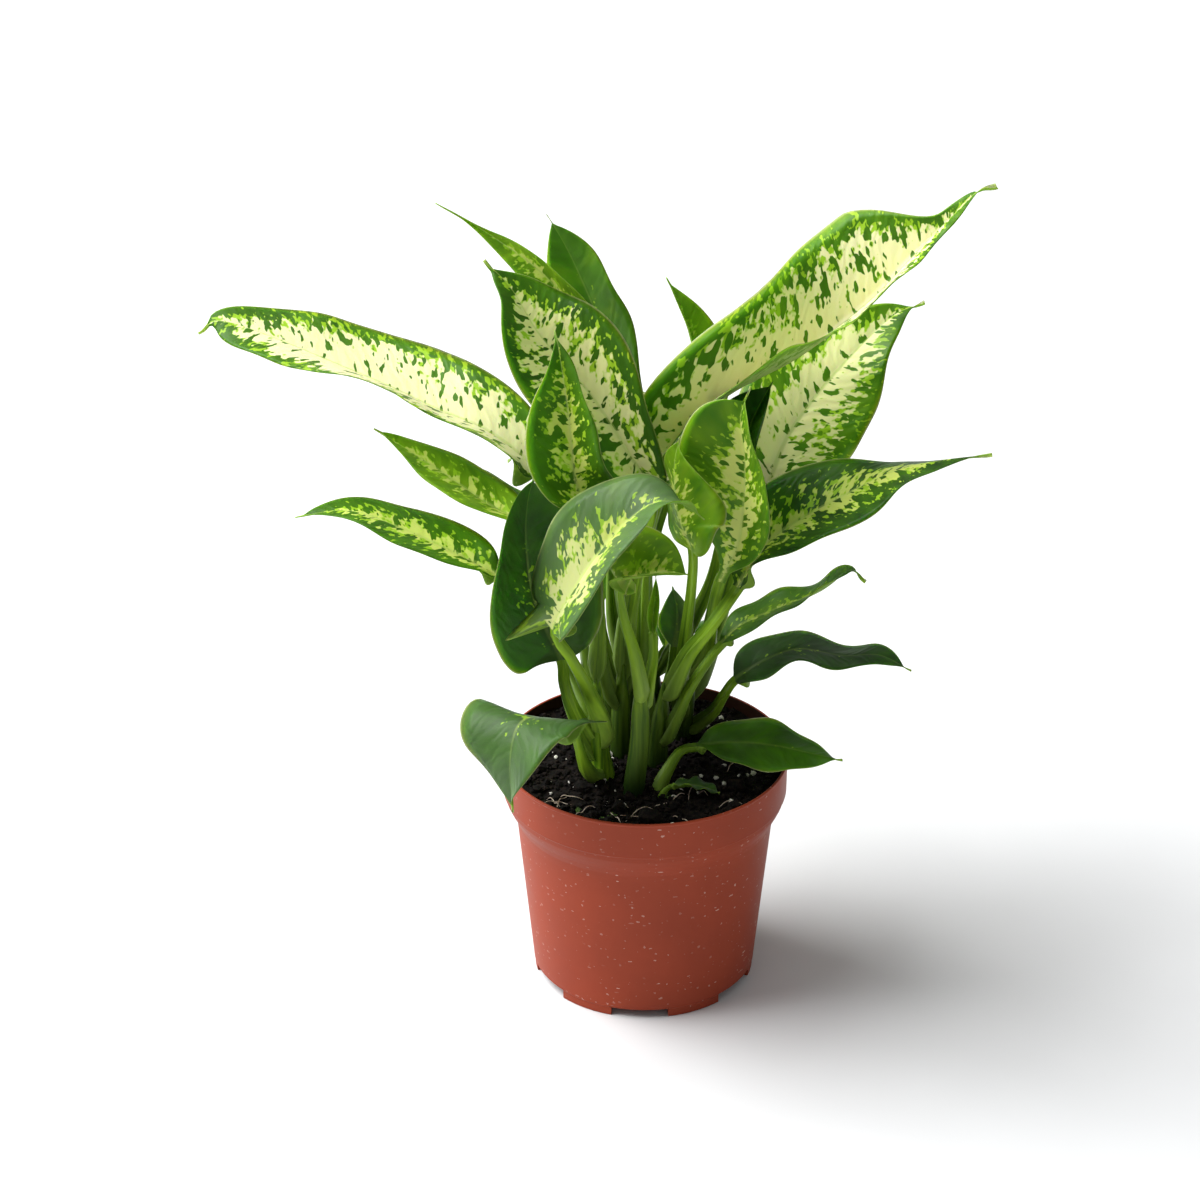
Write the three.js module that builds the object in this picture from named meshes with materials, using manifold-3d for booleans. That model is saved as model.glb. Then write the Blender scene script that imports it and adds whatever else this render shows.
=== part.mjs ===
// Potted dieffenbachia: a moulded plastic nursery pot, soil, short canes and single leaves.
// Millimetres, +Z up. Shapes are set out about the pot's axis with the foot ring at z = 0; the
// group is then moved so that the middle of the plant's outer box lies over the origin.
import * as THREE from 'three';
import Module from 'manifold-3d';
import { mergeVertices } from 'three/addons/utils/BufferGeometryUtils.js';

const wasm = await Module();
wasm.setup();

// ---- Driving dimensions ---------------------------------------------------------------------
const POT = {
  rimRadius: 60, height: 102.4, wall: 1.2,
  bandStraight: 88.5, bandFoot: 76, neckRadius: 54.2, footRadius: 46.8,
  floorTop: 6.5, floorUnder: 5, ringWall: 2,
  notches: 6, notchHeight: 3.7, notchAngle: 30, notchFacing: -92,
  drainRadius: 3.5, drainCircle: 28, lipChamfer: 0.4, innerStep: 0.5, segments: 48,
};
const SOIL = { front: 98, back: 97, mound: 2, crumb: 0.9, rings: 6, bottom: 7 };
const CANE = { bottom: 72, base: 4.7, top: 3.2, tipShare: 0.6, sides: 10, steps: 8 };
const GAP = 0.3;          // clearance between pieces that touch
const BLADE = 0.75;       // thickness of a blade at its edge
const TIP = 0.45;         // half width of the last point of a blade
const BLADE_START = 0.08; // share of the midrib over which the stalk widens into the blade
const LOBE_REACH = 0.32;  // share of the midrib over which the lobes of a blade's base swing back
const EAR_REACH = 0.1;    // share of the midrib along which an ear is pulled out of the base
const PINCH_START = 0.7;  // share of the midrib from which a pinched blade is drawn in
const PINCH_END = 0.86;   // share from which it stays narrow
const STALK = {
  rows: 5,                // stations along a stalk
  flare: 1.75,            // how much wider a stalk is at its sheathed foot
  fold: 38,               // how steeply the two sides of the channelled stalk rise, in degrees
  depth: 1.45,            // depth of the stalk's rounded back, as a share of its half width
};
const RIB = 1.5;          // how far the midrib stands out under the foot of a blade

const COLOURS = {
  pot: 0xb5563e, soil: 0x2a1d16, cane: 0x7d9a3c, leaf: 0x4f7a1c,
};

// ---- Small helpers ----------------------------------------------------------------------------
const vec = ([x, y, z]) => new THREE.Vector3(x, y, z);
const { degToRad: rad, lerp, smoothstep } = THREE.MathUtils;
const mix = (a, p, b, q) => a.clone().multiplyScalar(p).addScaledVector(b, q);

// Value at u of the parabola through base, middle and tip.
function along([base, middle, tip], u) {
  return base * (1 - u) * (1 - 2 * u) + 4 * middle * u * (1 - u) + tip * u * (2 * u - 1);
}

function bufferGeometry(points, triangles) {
  const geometry = new THREE.BufferGeometry();
  geometry.setAttribute('position', new THREE.Float32BufferAttribute(points, 3));
  geometry.setIndex(triangles);
  geometry.computeVertexNormals();
  return geometry;
}

function toSolid(geometry) {
  const bare = geometry.clone();
  bare.deleteAttribute('normal');
  bare.deleteAttribute('uv');
  const merged = mergeVertices(bare, 1e-4);
  return new wasm.Manifold(new wasm.Mesh({
    numProp: 3,
    vertProperties: new Float32Array(merged.attributes.position.array),
    triVerts: new Uint32Array(merged.index.array),
  }));
}

function toGeometry(solid) {
  const mesh = solid.getMesh();
  return bufferGeometry(Array.from(mesh.vertProperties), Array.from(mesh.triVerts));
}

// The largest of the bodies that a cut leaves.
function mainBody(solid) {
  const bodies = solid.decompose();
  return bodies.reduce((best, body) => (body.volume() > best.volume() ? body : best));
}

const group = new THREE.Group();

function addNode(name, geometry, colour, roughness) {
  const material = new THREE.MeshStandardMaterial({ color: colour, roughness, metalness: 0 });
  const mesh = new THREE.Mesh(geometry, material);
  mesh.name = name;
  group.add(mesh);
}

// ---- Pot: one turned wall, with notches cut in its foot ring and drain holes in its floor -------
function latheZ(profile, segments) {
  const points = profile.map(([r, z]) => new THREE.Vector2(r, z));
  return new THREE.LatheGeometry(points, segments).rotateX(Math.PI / 2);
}

function potGeometry() {
  const p = POT;
  const inner = (r) => r - p.wall;
  const wallSolid = toSolid(latheZ([
    [0, p.floorUnder], [p.footRadius - p.ringWall, p.floorUnder],
    [p.footRadius - p.ringWall, 0], [p.footRadius, 0],
    [p.neckRadius, p.bandFoot], [p.rimRadius, p.bandStraight],
    [p.rimRadius, p.height - p.lipChamfer], [p.rimRadius - p.lipChamfer, p.height],
    [inner(p.rimRadius), p.height], [inner(p.rimRadius), p.bandStraight + p.innerStep],
    [inner(p.neckRadius), p.bandFoot + p.innerStep],
    [inner(p.footRadius + p.innerStep), p.floorTop], [0, p.floorTop],
  ], p.segments));
  const notchWidth = 2 * p.footRadius * Math.sin(rad(p.notchAngle / 2));
  const notchDepth = 6 * p.ringWall;
  const floorThrough = 2 * (p.floorTop - p.floorUnder);
  let pot = wallSolid;
  for (let k = 0; k < p.notches; k += 1) {
    const turn = rad(p.notchFacing + (k * 360) / p.notches);
    const notch = new THREE.BoxGeometry(notchDepth, notchWidth, 2 * p.notchHeight);
    notch.translate(p.footRadius - p.ringWall / 2, 0, 0).rotateZ(turn);
    pot = pot.subtract(toSolid(notch));
    const drain = new THREE.CylinderGeometry(p.drainRadius, p.drainRadius, floorThrough, 10);
    drain.rotateX(Math.PI / 2).translate(p.drainCircle, 0, (p.floorTop + p.floorUnder) / 2);
    pot = pot.subtract(toSolid(drain.rotateZ(turn)));
  }
  return toGeometry(pot);
}

// ---- Soil: fills the pot, tilted a little to the front, mounded and crumbly on top -------------
function innerRadius(z) {
  const { neckRadius, footRadius, bandFoot, bandStraight, rimRadius, wall, innerStep } = POT;
  const bandAt = z - innerStep;
  if (bandAt >= bandStraight) return rimRadius - wall;
  if (bandAt >= bandFoot) {
    const part = (bandAt - bandFoot) / (bandStraight - bandFoot);
    return neckRadius - wall + (rimRadius - neckRadius) * part;
  }
  const part = (z - POT.floorTop) / (bandFoot + innerStep - POT.floorTop);
  return footRadius + innerStep - wall + (neckRadius - footRadius - innerStep) * part;
}

function soilHeight(x, y) {
  const edge = POT.rimRadius - POT.wall;
  const reach = Math.min(Math.hypot(x, y) / edge, 1);
  const tilt = (SOIL.front + SOIL.back) / 2 - ((SOIL.front - SOIL.back) / 2) * (y / edge);
  const across = Math.sin(0.83 * x + 1.7 * Math.sin(0.61 * y));
  const deep = Math.sin(0.77 * y + 1.3 * Math.sin(0.53 * x));
  return tilt + SOIL.mound * (1 - reach ** 2) + SOIL.crumb * across * deep * (1 - reach ** 8);
}

function soilSolid(lift) {
  const n = POT.segments;
  const points = [];
  const triangles = [];
  const ring = (radiusAt, heightAt) => {
    for (let i = 0; i < n; i += 1) {
      const turn = (i / n) * 2 * Math.PI;
      const [c, s] = [Math.sin(turn), Math.cos(turn)];
      const r = radiusAt(c, s);
      points.push(r * c, r * s, heightAt(r * c, r * s));
    }
  };
  points.push(0, 0, SOIL.bottom);
  ring(() => innerRadius(SOIL.bottom) - GAP, () => SOIL.bottom);
  for (const bend of [POT.bandFoot, POT.bandStraight]) {
    const z = bend + POT.innerStep;
    ring(() => innerRadius(z) - GAP, () => z);
  }
  const edge = POT.rimRadius - POT.wall - GAP;
  for (let k = SOIL.rings; k >= 1; k -= 1) {
    const r = edge * (k / SOIL.rings);
    ring(() => r, (x, y) => soilHeight(x, y) + lift);
  }
  points.push(0, 0, soilHeight(0, 0) + lift);
  const rows = SOIL.rings + 3;
  const last = 1 + rows * n;
  for (let i = 0; i < n; i += 1) {
    const j = (i + 1) % n;
    triangles.push(0, 1 + i, 1 + j);
    for (let k = 0; k < rows - 1; k += 1) {
      const [a, b] = [1 + k * n + i, 1 + k * n + j];
      triangles.push(a, a + n, b + n, a, b + n, b);
    }
    triangles.push(last - n + i, last, last - n + j);
  }
  return toSolid(bufferGeometry(points, triangles));
}

// ---- Canes: short tapered stems that stand in plain holes in the soil ---------------------------
const CANES = {
  left: [[-16, -14, 93], [-19, -15, 117], [-20, -16, 150]],
  front: [[-5, -27, 93], [-2, -27, 124], [-2, -28, 158]],
  middle: [[5, -4, 93], [6, -4, 112], [8, -5, 138]],
  right: [[15, 20, 93], [17, 17, 118], [18, 12, 138]],
  inner: [[-10, 4, 93], [-10, 4, 118], [-9, 3, 142]],
  rear: [[2, 27, 93], [3, 27, 112], [4, 26, 134]],
  back: [[-6, 41, 93], [-6, 41, 112], [-5, 41, 138]],
};

function caneSolid(path, lift) {
  const top = path[path.length - 1][2];
  const start = [path[0][0], path[0][1], CANE.bottom];
  const curve = new THREE.CatmullRomCurve3([start, ...path].map(vec), false, 'catmullrom', 0.5);
  const { steps, sides: n } = CANE;
  const points = [];
  const triangles = [];
  for (let k = 0; k <= steps; k += 1) {
    const centre = curve.getPointAt(k / steps);
    const part = Math.max(0, (centre.z - path[0][2]) / (top - path[0][2]));
    const girth = lerp(CANE.base, CANE.top, part) * (k === steps ? CANE.tipShare : 1);
    const radius = girth + lift;
    const z = k === 0 ? centre.z - lift : centre.z + (k === steps ? lift : 0);
    for (let i = 0; i < n; i += 1) {
      const turn = (i / n) * 2 * Math.PI;
      points.push(centre.x + radius * Math.cos(turn), centre.y + radius * Math.sin(turn), z);
    }
  }
  for (let i = 0; i < n; i += 1) {
    const j = (i + 1) % n;
    for (let k = 0; k < steps; k += 1) {
      const [a, b] = [k * n + i, k * n + j];
      triangles.push(a, b, b + n, a, b + n, a + n);
    }
    if (i > 0 && j > 0) triangles.push(0, j, i, steps * n, steps * n + i, steps * n + j);
  }
  return toSolid(bufferGeometry(points, triangles));
}

// ---- Leaves -------------------------------------------------------------------------------------
// A leaf is one skin round a spine that runs up the stalk and on along the midrib. Each station of
// the spine has a row of points on the upper face, from the left edge to the right, and a row under
// it. In the stalk the row is a narrow channel, in the blade it is as wide as the outline there.
//   width     full width of the blade          belly    where along the midrib it is widest
//   taper     how fast it narrows to the tip   tail     share of the midrib that is a thin drip tip
//   pinch     share by which the last part of the blade is drawn in towards that tip
//   heading   plan direction that the leaf leans in, from +X towards +Y
//   roll      turn about the midrib at base, middle and tip; positive lifts the right side
//   fold      how far both halves rise from flat at base, middle and tip
//   lobe      how far the left and right halves reach back past the stalk, as shares of the midrib
//   ear       how far the corner of the left half's base is pulled out, in mm
//   curl      droop of both edges, as a share of the half width
//   wave      height of the waves along the edge, in mm
const LEAF_DEFAULTS = {
  belly: 0.42, taper: 1, tail: 0.04, pinch: 0, lobe: [0, 0], ear: [0, 0, 0], curl: 0, wave: 0, waves: 3,
  stalkRadius: 1.5, across: 4, rows: 8,
};
const LARGE = { across: 6, rows: 10, stalkRadius: 1.9 };
const SPINE_SAMPLES = 400;

function outline(leaf, u) {
  const reach = Math.min(u / (1 - leaf.tail), 1);
  const front = (leaf.taper * leaf.belly) / (1 - leaf.belly);
  const peak = leaf.belly ** front * (1 - leaf.belly) ** leaf.taper;
  const drawn = 1 - leaf.pinch * smoothstep(u, PINCH_START, PINCH_END);
  const shape = (drawn * reach ** front * (1 - reach) ** leaf.taper) / peak;
  return Math.max((leaf.width / 2) * shape, leaf.stalkRadius * Math.sqrt(1 - u), TIP);
}

function leafSolid(leaf) {
  const spine = [...leaf.stalk, ...leaf.rib].map(vec);
  const curve = new THREE.CatmullRomCurve3(spine, false, 'catmullrom', 0.5);
  const lengths = curve.getLengths(SPINE_SAMPLES);
  const total = lengths[SPINE_SAMPLES];
  const base = lengths[Math.round((leaf.stalk.length / (spine.length - 1)) * SPINE_SAMPLES)];
  const ribLength = total - base;
  const heading = rad(leaf.heading);
  const side = new THREE.Vector3(Math.sin(heading), -Math.cos(heading), 0);
  const stations = [];
  for (let k = 0; k < STALK.rows; k += 1) stations.push((base * k) / STALK.rows);
  for (let k = 0; k <= leaf.rows; k += 1) {
    const even = k / leaf.rows;
    stations.push(base + ribLength * (0.5 * even + 0.25 * (1 - Math.cos(Math.PI * even))));
  }
  const upper = [];
  const lower = [];
  stations.forEach((s) => {
    const u = Math.max(0, (s - base) / ribLength);
    const up = Math.min(s / base, 1);
    const blade = smoothstep(u, 0, BLADE_START);
    const centre = curve.getPointAt(Math.min(s / total, 1));
    const tangent = curve.getTangentAt(Math.min(s / total, 1));
    const flat = side.clone().addScaledVector(tangent, -side.dot(tangent)).normalize();
    const face = flat.clone().cross(tangent);
    const roll = rad(along(leaf.roll, u) * up);
    const right = mix(flat, Math.cos(roll), face, Math.sin(roll));
    const normal = mix(face, Math.cos(roll), flat, -Math.sin(roll));
    const fold = rad(lerp(STALK.fold, along(leaf.fold, u), blade));
    const flare = 1 + (STALK.flare - 1) * (1 - up) ** 2;
    const half = u > 0 ? outline(leaf, u) : leaf.stalkRadius * flare;
    const back = u < LOBE_REACH ? ribLength * Math.sin((Math.PI * u) / LOBE_REACH) ** 2 : 0;
    const pull = u < EAR_REACH ? Math.sin((Math.PI * u) / EAR_REACH) ** 2 : 0;
    const keel = lerp(STALK.depth * half, BLADE + RIB * (1 - u) ** 2, blade);
    const upperRow = [];
    const lowerRow = [];
    for (let k = 0; k <= leaf.across; k += 1) {
      const v = (2 * k) / leaf.across - 1;
      const hand = Math.sign(v);
      const out = mix(right, hand * Math.cos(fold), normal, Math.sin(fold));
      const skin = mix(normal, Math.cos(fold), right, -hand * Math.sin(fold));
      const ripple = leaf.wave * blade * v ** 2 * Math.sin(2 * Math.PI * leaf.waves * u + hand);
      const point = centre.clone().addScaledVector(out, half * Math.abs(v))
        .addScaledVector(normal, -half * leaf.curl * blade * v ** 2)
        .addScaledVector(tangent, -back * leaf.lobe[v < 0 ? 0 : 1] * Math.abs(v))
        .addScaledVector(vec(leaf.ear), pull * Math.max(-v, 0) ** 3)
        .addScaledVector(skin, ripple);
      const bulk = lerp(Math.sqrt(1 - v ** 2), v === 0 ? 1 : 0, blade);
      const depth = BLADE + (keel - BLADE) * bulk;
      upperRow.push(point);
      lowerRow.push(point.clone().addScaledVector(v === 0 ? normal : skin, -depth));
    }
    upper.push(upperRow);
    lower.push(lowerRow);
  });
  return skinSolid(upper, lower);
}

// Closed skin over two matching grids of points, split into triangles alike above and below.
function skinSolid(upper, lower) {
  const columns = upper[0].length;
  const rows = upper.length;
  const points = [...upper.flat(), ...lower.flat()].flatMap((p) => p.toArray());
  const triangles = [];
  const top = (r, c) => r * columns + c;
  const under = (r, c) => (rows + r) * columns + c;
  for (let r = 0; r < rows - 1; r += 1) {
    for (let c = 0; c < columns - 1; c += 1) {
      triangles.push(top(r, c), top(r, c + 1), top(r + 1, c + 1));
      triangles.push(top(r, c), top(r + 1, c + 1), top(r + 1, c));
      triangles.push(under(r, c), under(r + 1, c + 1), under(r, c + 1));
      triangles.push(under(r, c), under(r + 1, c), under(r + 1, c + 1));
    }
    const e = columns - 1;
    triangles.push(top(r, 0), top(r + 1, 0), under(r + 1, 0), top(r, 0), under(r + 1, 0), under(r, 0));
    triangles.push(top(r, e), under(r + 1, e), top(r + 1, e), top(r, e), under(r, e), under(r + 1, e));
  }
  for (let c = 0; c < columns - 1; c += 1) {
    const z = rows - 1;
    triangles.push(top(0, c), under(0, c), under(0, c + 1), top(0, c), under(0, c + 1), top(0, c + 1));
    triangles.push(top(z, c), under(z, c + 1), under(z, c), top(z, c), top(z, c + 1), under(z, c + 1));
  }
  return toSolid(bufferGeometry(points, triangles));
}

const LEAVES = {
  leaf_top_right: {
    ...LARGE, heading: 20, width: 70, belly: 0.58, taper: 0.38, tail: 0.05, pinch: 0.84, rows: 16,
    stalk: [[1, -4, 104], [-1, 3, 124], [-2, 8, 150], [-1, 12, 190]],
    rib: [
      [7, 16, 220], [17, 20, 243], [35, 26, 256], [62, 37, 267], [89, 46, 286],
      [109, 51, 307], [124, 48, 326], [132, 45, 336], [139, 42, 339],
    ],
    roll: [-33, -19, 0], fold: [69, 53, 10], lobe: [0.1, 0.03], wave: 2,
  },
  leaf_right_upper: {
    ...LARGE, heading: 60, width: 54, belly: 0.34, taper: 1.05,
    stalk: [[16, 21, 112], [25, 27, 132], [34, 30, 165], [42, 30, 195]],
    rib: [[50, 30, 212], [58, 38, 230], [74, 48, 250], [99, 62, 272], [114, 68, 277]],
    roll: [-35, -15, 10], fold: [12, 6, 15], wave: 1.5,
  },
  leaf_right_middle: {
    ...LARGE, heading: 0, width: 46, belly: 0.43, taper: 1.05,
    stalk: [[8, -5, 130], [12, -11, 144], [17, -16, 158], [26, -20, 173]],
    rib: [[37, -8, 184], [48, 0, 199], [66, 3, 212], [97, 4, 230], [117, 0, 238], [138, -6, 244]],
    roll: [-45, -10, 35], fold: [60, 0, -20], wave: 1,
  },
  leaf_far_left: {
    ...LARGE, heading: 180, width: 51, belly: 0.44, taper: 0.6,
    stalk: [[-10, 4, 104], [-17, 12, 128], [-21, 13, 151], [-28, 13, 192], [-37, 11, 220]],
    rib: [
      [-43, 8, 228], [-64, 14, 243], [-87, 22, 250],
      [-110, 30, 258], [-169, 46, 276], [-183, 44, 272],
    ],
    roll: [35, 5, 40], fold: [28, 24, -12], wave: 1,
  },
  leaf_crown: {
    ...LARGE, heading: 90, width: 52, belly: 0.54, taper: 1,
    stalk: [[-9, 3, 134], [-8, 2, 160], [-3, 0, 193]],
    rib: [[2, 2, 219], [-8, 4, 240], [-23, 8, 263], [-43, 14, 286], [-54, 20, 303], [-65, 24, 314]],
    roll: [25, -15, -50], fold: [30, 28, 0], lobe: [0.1, 0.1], wave: 1,
  },
  leaf_crown_back: {
    heading: 90, width: 38, belly: 0.53, taper: 0.8,
    stalk: [[3, 27, 130], [0, 28, 152], [0, 31, 185]],
    rib: [[0, 32, 212], [-8, 40, 244], [-18, 46, 273], [-31, 52, 303], [-41, 54, 321]],
    roll: [40, 30, 10], fold: [28, 20, 10], wave: 1,
  },
  leaf_crown_rolled: {
    heading: 110, width: 30, belly: 0.35, taper: 1.6,
    stalk: [[-10, 5, 120], [-7, 12, 136], [-5, 14, 155], [-4, 17, 190]],
    rib: [[-5, 20, 220], [-20, 28, 268], [-37, 34, 298], [-65, 40, 319], [-85, 38, 332]],
    roll: [10, 40, 45], fold: [20, 35, 20],
  },
  leaf_centre_left: {
    heading: 95, width: 40, belly: 0.4, taper: 1.2,
    stalk: [[-20, -17, 144], [-19, -18, 164], [-19, -18, 192]],
    rib: [[-21, -20, 220], [-28, -18, 236], [-30, -15, 254], [-32, -13, 272], [-36, -11, 299]],
    roll: [-45, 20, -10], fold: [35, 38, 25], curl: -0.1, wave: 1,
  },
  leaf_left_upper: {
    heading: 170, width: 28, belly: 0.4, taper: 1,
    stalk: [[-20, -15, 138], [-24, -5, 158], [-31, -4, 184], [-41, -12, 206]],
    rib: [[-48, -14, 215], [-63, -8, 221], [-80, 0, 230], [-94, 6, 237], [-110, 10, 246]],
    roll: [12, 8, 10], fold: [30, 8, 10],
  },
  leaf_left_behind: {
    heading: 170, width: 20, belly: 0.42, taper: 1,
    stalk: [[-10, 4, 118], [-16, -2, 140], [-21, -8, 175], [-29, -8, 203]],
    rib: [[-38, -5, 216], [-52, 11, 213], [-69, 25, 219], [-84, 34, 220]],
    roll: [0, -20, -30], fold: [20, 13, 8],
  },
  leaf_left_lower: {
    heading: 180, width: 32, belly: 0.41, taper: 0.9,
    stalk: [[-19, -14, 120], [-27, -10, 141], [-39, -16, 170], [-50, -20, 190]],
    rib: [[-59, -20, 195], [-71, -16, 200], [-98, -8, 210], [-120, -4, 216], [-142, -4, 213]],
    roll: [18, 5, 0], fold: [37, 5, 25],
  },
  leaf_left_broad: {
    ...LARGE, heading: 120, width: 55, belly: 0.42, taper: 0.75,
    stalk: [[-18, -15, 106], [-25, -19, 122], [-30, -25, 137], [-33, -29, 151]],
    rib: [
      [-34, -30, 162], [-41, -29, 178], [-46, -27, 194],
      [-48, -24, 214], [-47, -21, 230], [-44, -19, 240],
    ],
    roll: [40, -3, -4], fold: [25, 22, 16], lobe: [0.04, 0.04], curl: -0.1,
  },
  leaf_front: {
    ...LARGE, heading: 40, width: 49, belly: 0.4, taper: 0.92,
    stalk: [[-18, -15, 112], [-19, -24, 130], [-25, -42, 156], [-31, -50, 173]],
    rib: [
      [-37, -51, 187], [-27, -51, 208], [-14, -51, 228],
      [1, -51, 243], [14, -53, 245], [23, -55, 239],
    ],
    roll: [25, 8, 22], fold: [-5, 25, -18], lobe: [0.12, 0.08], ear: [-15, -9, -9],
  },
  leaf_front_small: {
    heading: 0, width: 46, belly: 0.4, taper: 1,
    stalk: [[-2, -28, 140], [-5, -29, 162], [-10, -30, 182]],
    rib: [[-11, -31, 198], [-2, -33, 202], [8, -35, 205], [17, -37, 205]],
    roll: [-27, -27, -20], fold: [55, 55, 30],
  },
  leaf_centre: {
    heading: 60, width: 42, belly: 0.39, taper: 1,
    stalk: [[16, 19, 104], [14, 11, 120], [15, 2, 146], [18, -9, 183]],
    rib: [[18, -20, 207], [13, -22, 221], [11, -21, 234], [11, -18, 246], [13, -15, 255]],
    roll: [20, 26, 27], fold: [29, -20, 40], curl: 0.2,
  },
  leaf_centre_right: {
    ...LARGE, heading: 90, width: 52, belly: 0.7, taper: 0.6, tail: 0.08,
    stalk: [[18, 13, 130], [24, 8, 142], [26, 0, 156], [27, -7, 170]],
    rib: [[30, -11, 188], [37, -14, 207], [39, -14, 226], [39, -12, 245], [37, -10, 261], [41, -8, 274]],
    roll: [2, 33, 42], fold: [18, 27, 34], curl: -0.15,
  },
  leaf_shade_right: {
    heading: 90, width: 33, belly: 0.49, taper: 1,
    stalk: [[5, 25, 124], [16, 27, 142], [26, 21, 168], [30, 13, 192]],
    rib: [[33, 8, 216], [38, 9, 236], [43, 10, 252], [50, 11, 267]],
    roll: [14, 40, 38], fold: [19, 38, 20],
  },
  leaf_top_small: {
    heading: 90, width: 26, belly: 0.41, taper: 1.2,
    stalk: [[-5, 40, 108], [-4, 35, 128], [-1, 34, 160], [8, 35, 200]],
    rib: [[24, 34, 238], [21, 38, 259], [16, 42, 279], [8, 44, 298]],
    roll: [-10, -47, -49], fold: [17, 42, 22],
  },
  leaf_right_twisted: {
    heading: 10, width: 24, belly: 0.39, taper: 1, tail: 0.02,
    stalk: [[6, -5, 108], [12, -10, 124], [17, -12, 138], [24, -9, 149]],
    rib: [[31, -4, 156], [41, -2, 165], [70, 4, 176], [83, 6, 185], [90, 2, 182]],
    roll: [-10, 11, 26], fold: [0, 10, 8], wave: 1,
  },
  leaf_right_low: {
    heading: 0, width: 31, belly: 0.39, taper: 0.9,
    stalk: [[16, 20, 100], [22, 18, 106], [28, 12, 115], [32, 4, 127]],
    rib: [[37, -2, 138], [49, -2, 147], [63, -1, 152], [81, -1, 149], [96, -4, 151], [109, -10, 147]],
    roll: [-30, 5, -25], fold: [18, 0, 0], wave: 1,
  },
  leaf_rim_right: {
    heading: -10, width: 31, belly: 0.44, taper: 1,
    stalk: [[3, -25, 95], [7, -21, 103], [12, -15, 109], [16, -12, 111]],
    rib: [[21, -12, 112], [37, -14, 115], [53, -18, 116], [67, -22, 115], [81, -28, 115]],
    roll: [0, -13, 0], fold: [22, -4, -12], wave: 0.8,
  },
  leaf_rim_left: {
    heading: -130, width: 54, belly: 0.42, taper: 1, across: 6, rows: 10,
    stalk: [[-17, -15, 101], [-22, -22, 105], [-25, -31, 116], [-27, -37, 127]],
    rib: [[-30, -40, 136], [-43, -50, 147], [-51, -58, 147], [-54, -66, 135], [-53, -70, 114]],
    roll: [-50, -4, -50], fold: [-10, 6, 20], lobe: [0.16, 0.16],
  },
  leaf_low_small: {
    heading: -10, width: 13, belly: 0.45, taper: 1, tail: 0.02, stalkRadius: 1, rows: 6,
    stalk: [[6, -30, 96], [7, -30, 100], [9, -29, 102]],
    rib: [[11, -29, 103], [18, -30, 104], [25, -31, 103.5], [31, -33, 102]],
    roll: [14, 8, 0], fold: [14, 8, 0], wave: 0.8,
  },
  leaf_inner_small: {
    heading: 90, width: 17, belly: 0.46, taper: 1,
    stalk: [[4, 26, 102], [8, 23, 113], [11, 20, 130]],
    rib: [[12, 18, 142], [13, 20, 150], [13, 21, 158], [11, 22, 168]],
    roll: [-6, 9, 2], fold: [11, 25, 20], rows: 6,
  },
  leaf_back_middle: {
    heading: 90, width: 40,
    stalk: [[-5, 41, 134], [-3, 42, 160], [2, 43, 190]],
    rib: [[4, 46, 210], [4, 74, 228], [2, 105, 214], [0, 130, 185]],
    roll: [0, 0, 0], fold: [25, 15, 10], wave: 1,
  },
  leaf_back_right: {
    heading: 55, width: 38,
    stalk: [[-4, 43, 122], [-4, 50, 142], [-1, 52, 166]],
    rib: [[5, 51, 190], [30, 70, 208], [50, 92, 200], [62, 108, 180]],
    roll: [0, 5, 0], fold: [25, 15, 10], wave: 1,
  },
  leaf_back_left: {
    heading: 120, width: 38,
    stalk: [[-6, 41, 114], [-13, 44, 140], [-14, 44, 172]],
    rib: [[-14, 46, 192], [-30, 68, 208], [-46, 90, 202], [-60, 108, 184]],
    roll: [0, -5, 0], fold: [25, 15, 10], wave: 1,
  },
  leaf_back_low_right: {
    heading: 70, width: 30,
    stalk: [[-5, 41, 102], [1, 47, 110], [5, 51, 117]],
    rib: [[9, 54, 122], [16, 64, 126], [24, 76, 122], [29, 85, 110]],
    roll: [0, 10, 0], fold: [20, 15, 10],
  },
  leaf_back_low_left: {
    heading: 110, width: 34,
    stalk: [[-6, 41, 102], [-14, 47, 116], [-18, 51, 130]],
    rib: [[-20, 54, 142], [-30, 74, 154], [-38, 96, 146], [-44, 110, 128]],
    roll: [0, -10, 0], fold: [20, 15, 10],
  },
  leaf_spear: {
    heading: 80, width: 9, belly: 0.4, taper: 1.2, rows: 6,
    stalk: [[-2, -27, 136], [1, -24, 148], [3, -21, 158]],
    rib: [[3, -20, 168], [3, -20, 178], [4, -20, 188], [4, -20, 198]],
    roll: [0, 0, 0], fold: [60, 62, 60],
  },
};

// ---- Assembly -----------------------------------------------------------------------------------
const caneBodies = {};
const caneReach = {};
for (const [name, path] of Object.entries(CANES)) {
  caneBodies[name] = caneSolid(path, 0);
  caneReach[name] = caneSolid(path, GAP);
}
let soil = soilSolid(0);
for (const reach of Object.values(caneReach)) soil = soil.subtract(reach);
const soilReach = soilSolid(GAP);

addNode('pot', potGeometry(), COLOURS.pot, 0.55);
addNode('soil', toGeometry(mainBody(soil)), COLOURS.soil, 0.95);
for (const [name, body] of Object.entries(caneBodies)) {
  addNode(`cane_${name}`, toGeometry(body), COLOURS.cane, 0.5);
}
for (const [name, given] of Object.entries(LEAVES)) {
  const leaf = { ...LEAF_DEFAULTS, ...given };
  let body = leafSolid(leaf).subtract(soilReach);
  for (const reach of Object.values(caneReach)) body = body.subtract(reach);
  addNode(name, toGeometry(mainBody(body)), COLOURS.leaf, 0.45);
}

// The origin lies under the middle of the outer box, on the surface that the pot stands on.
const box = new THREE.Box3().setFromObject(group);
group.position.set(-(box.min.x + box.max.x) / 2, -(box.min.y + box.max.y) / 2, -box.min.z);

export default group;
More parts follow.
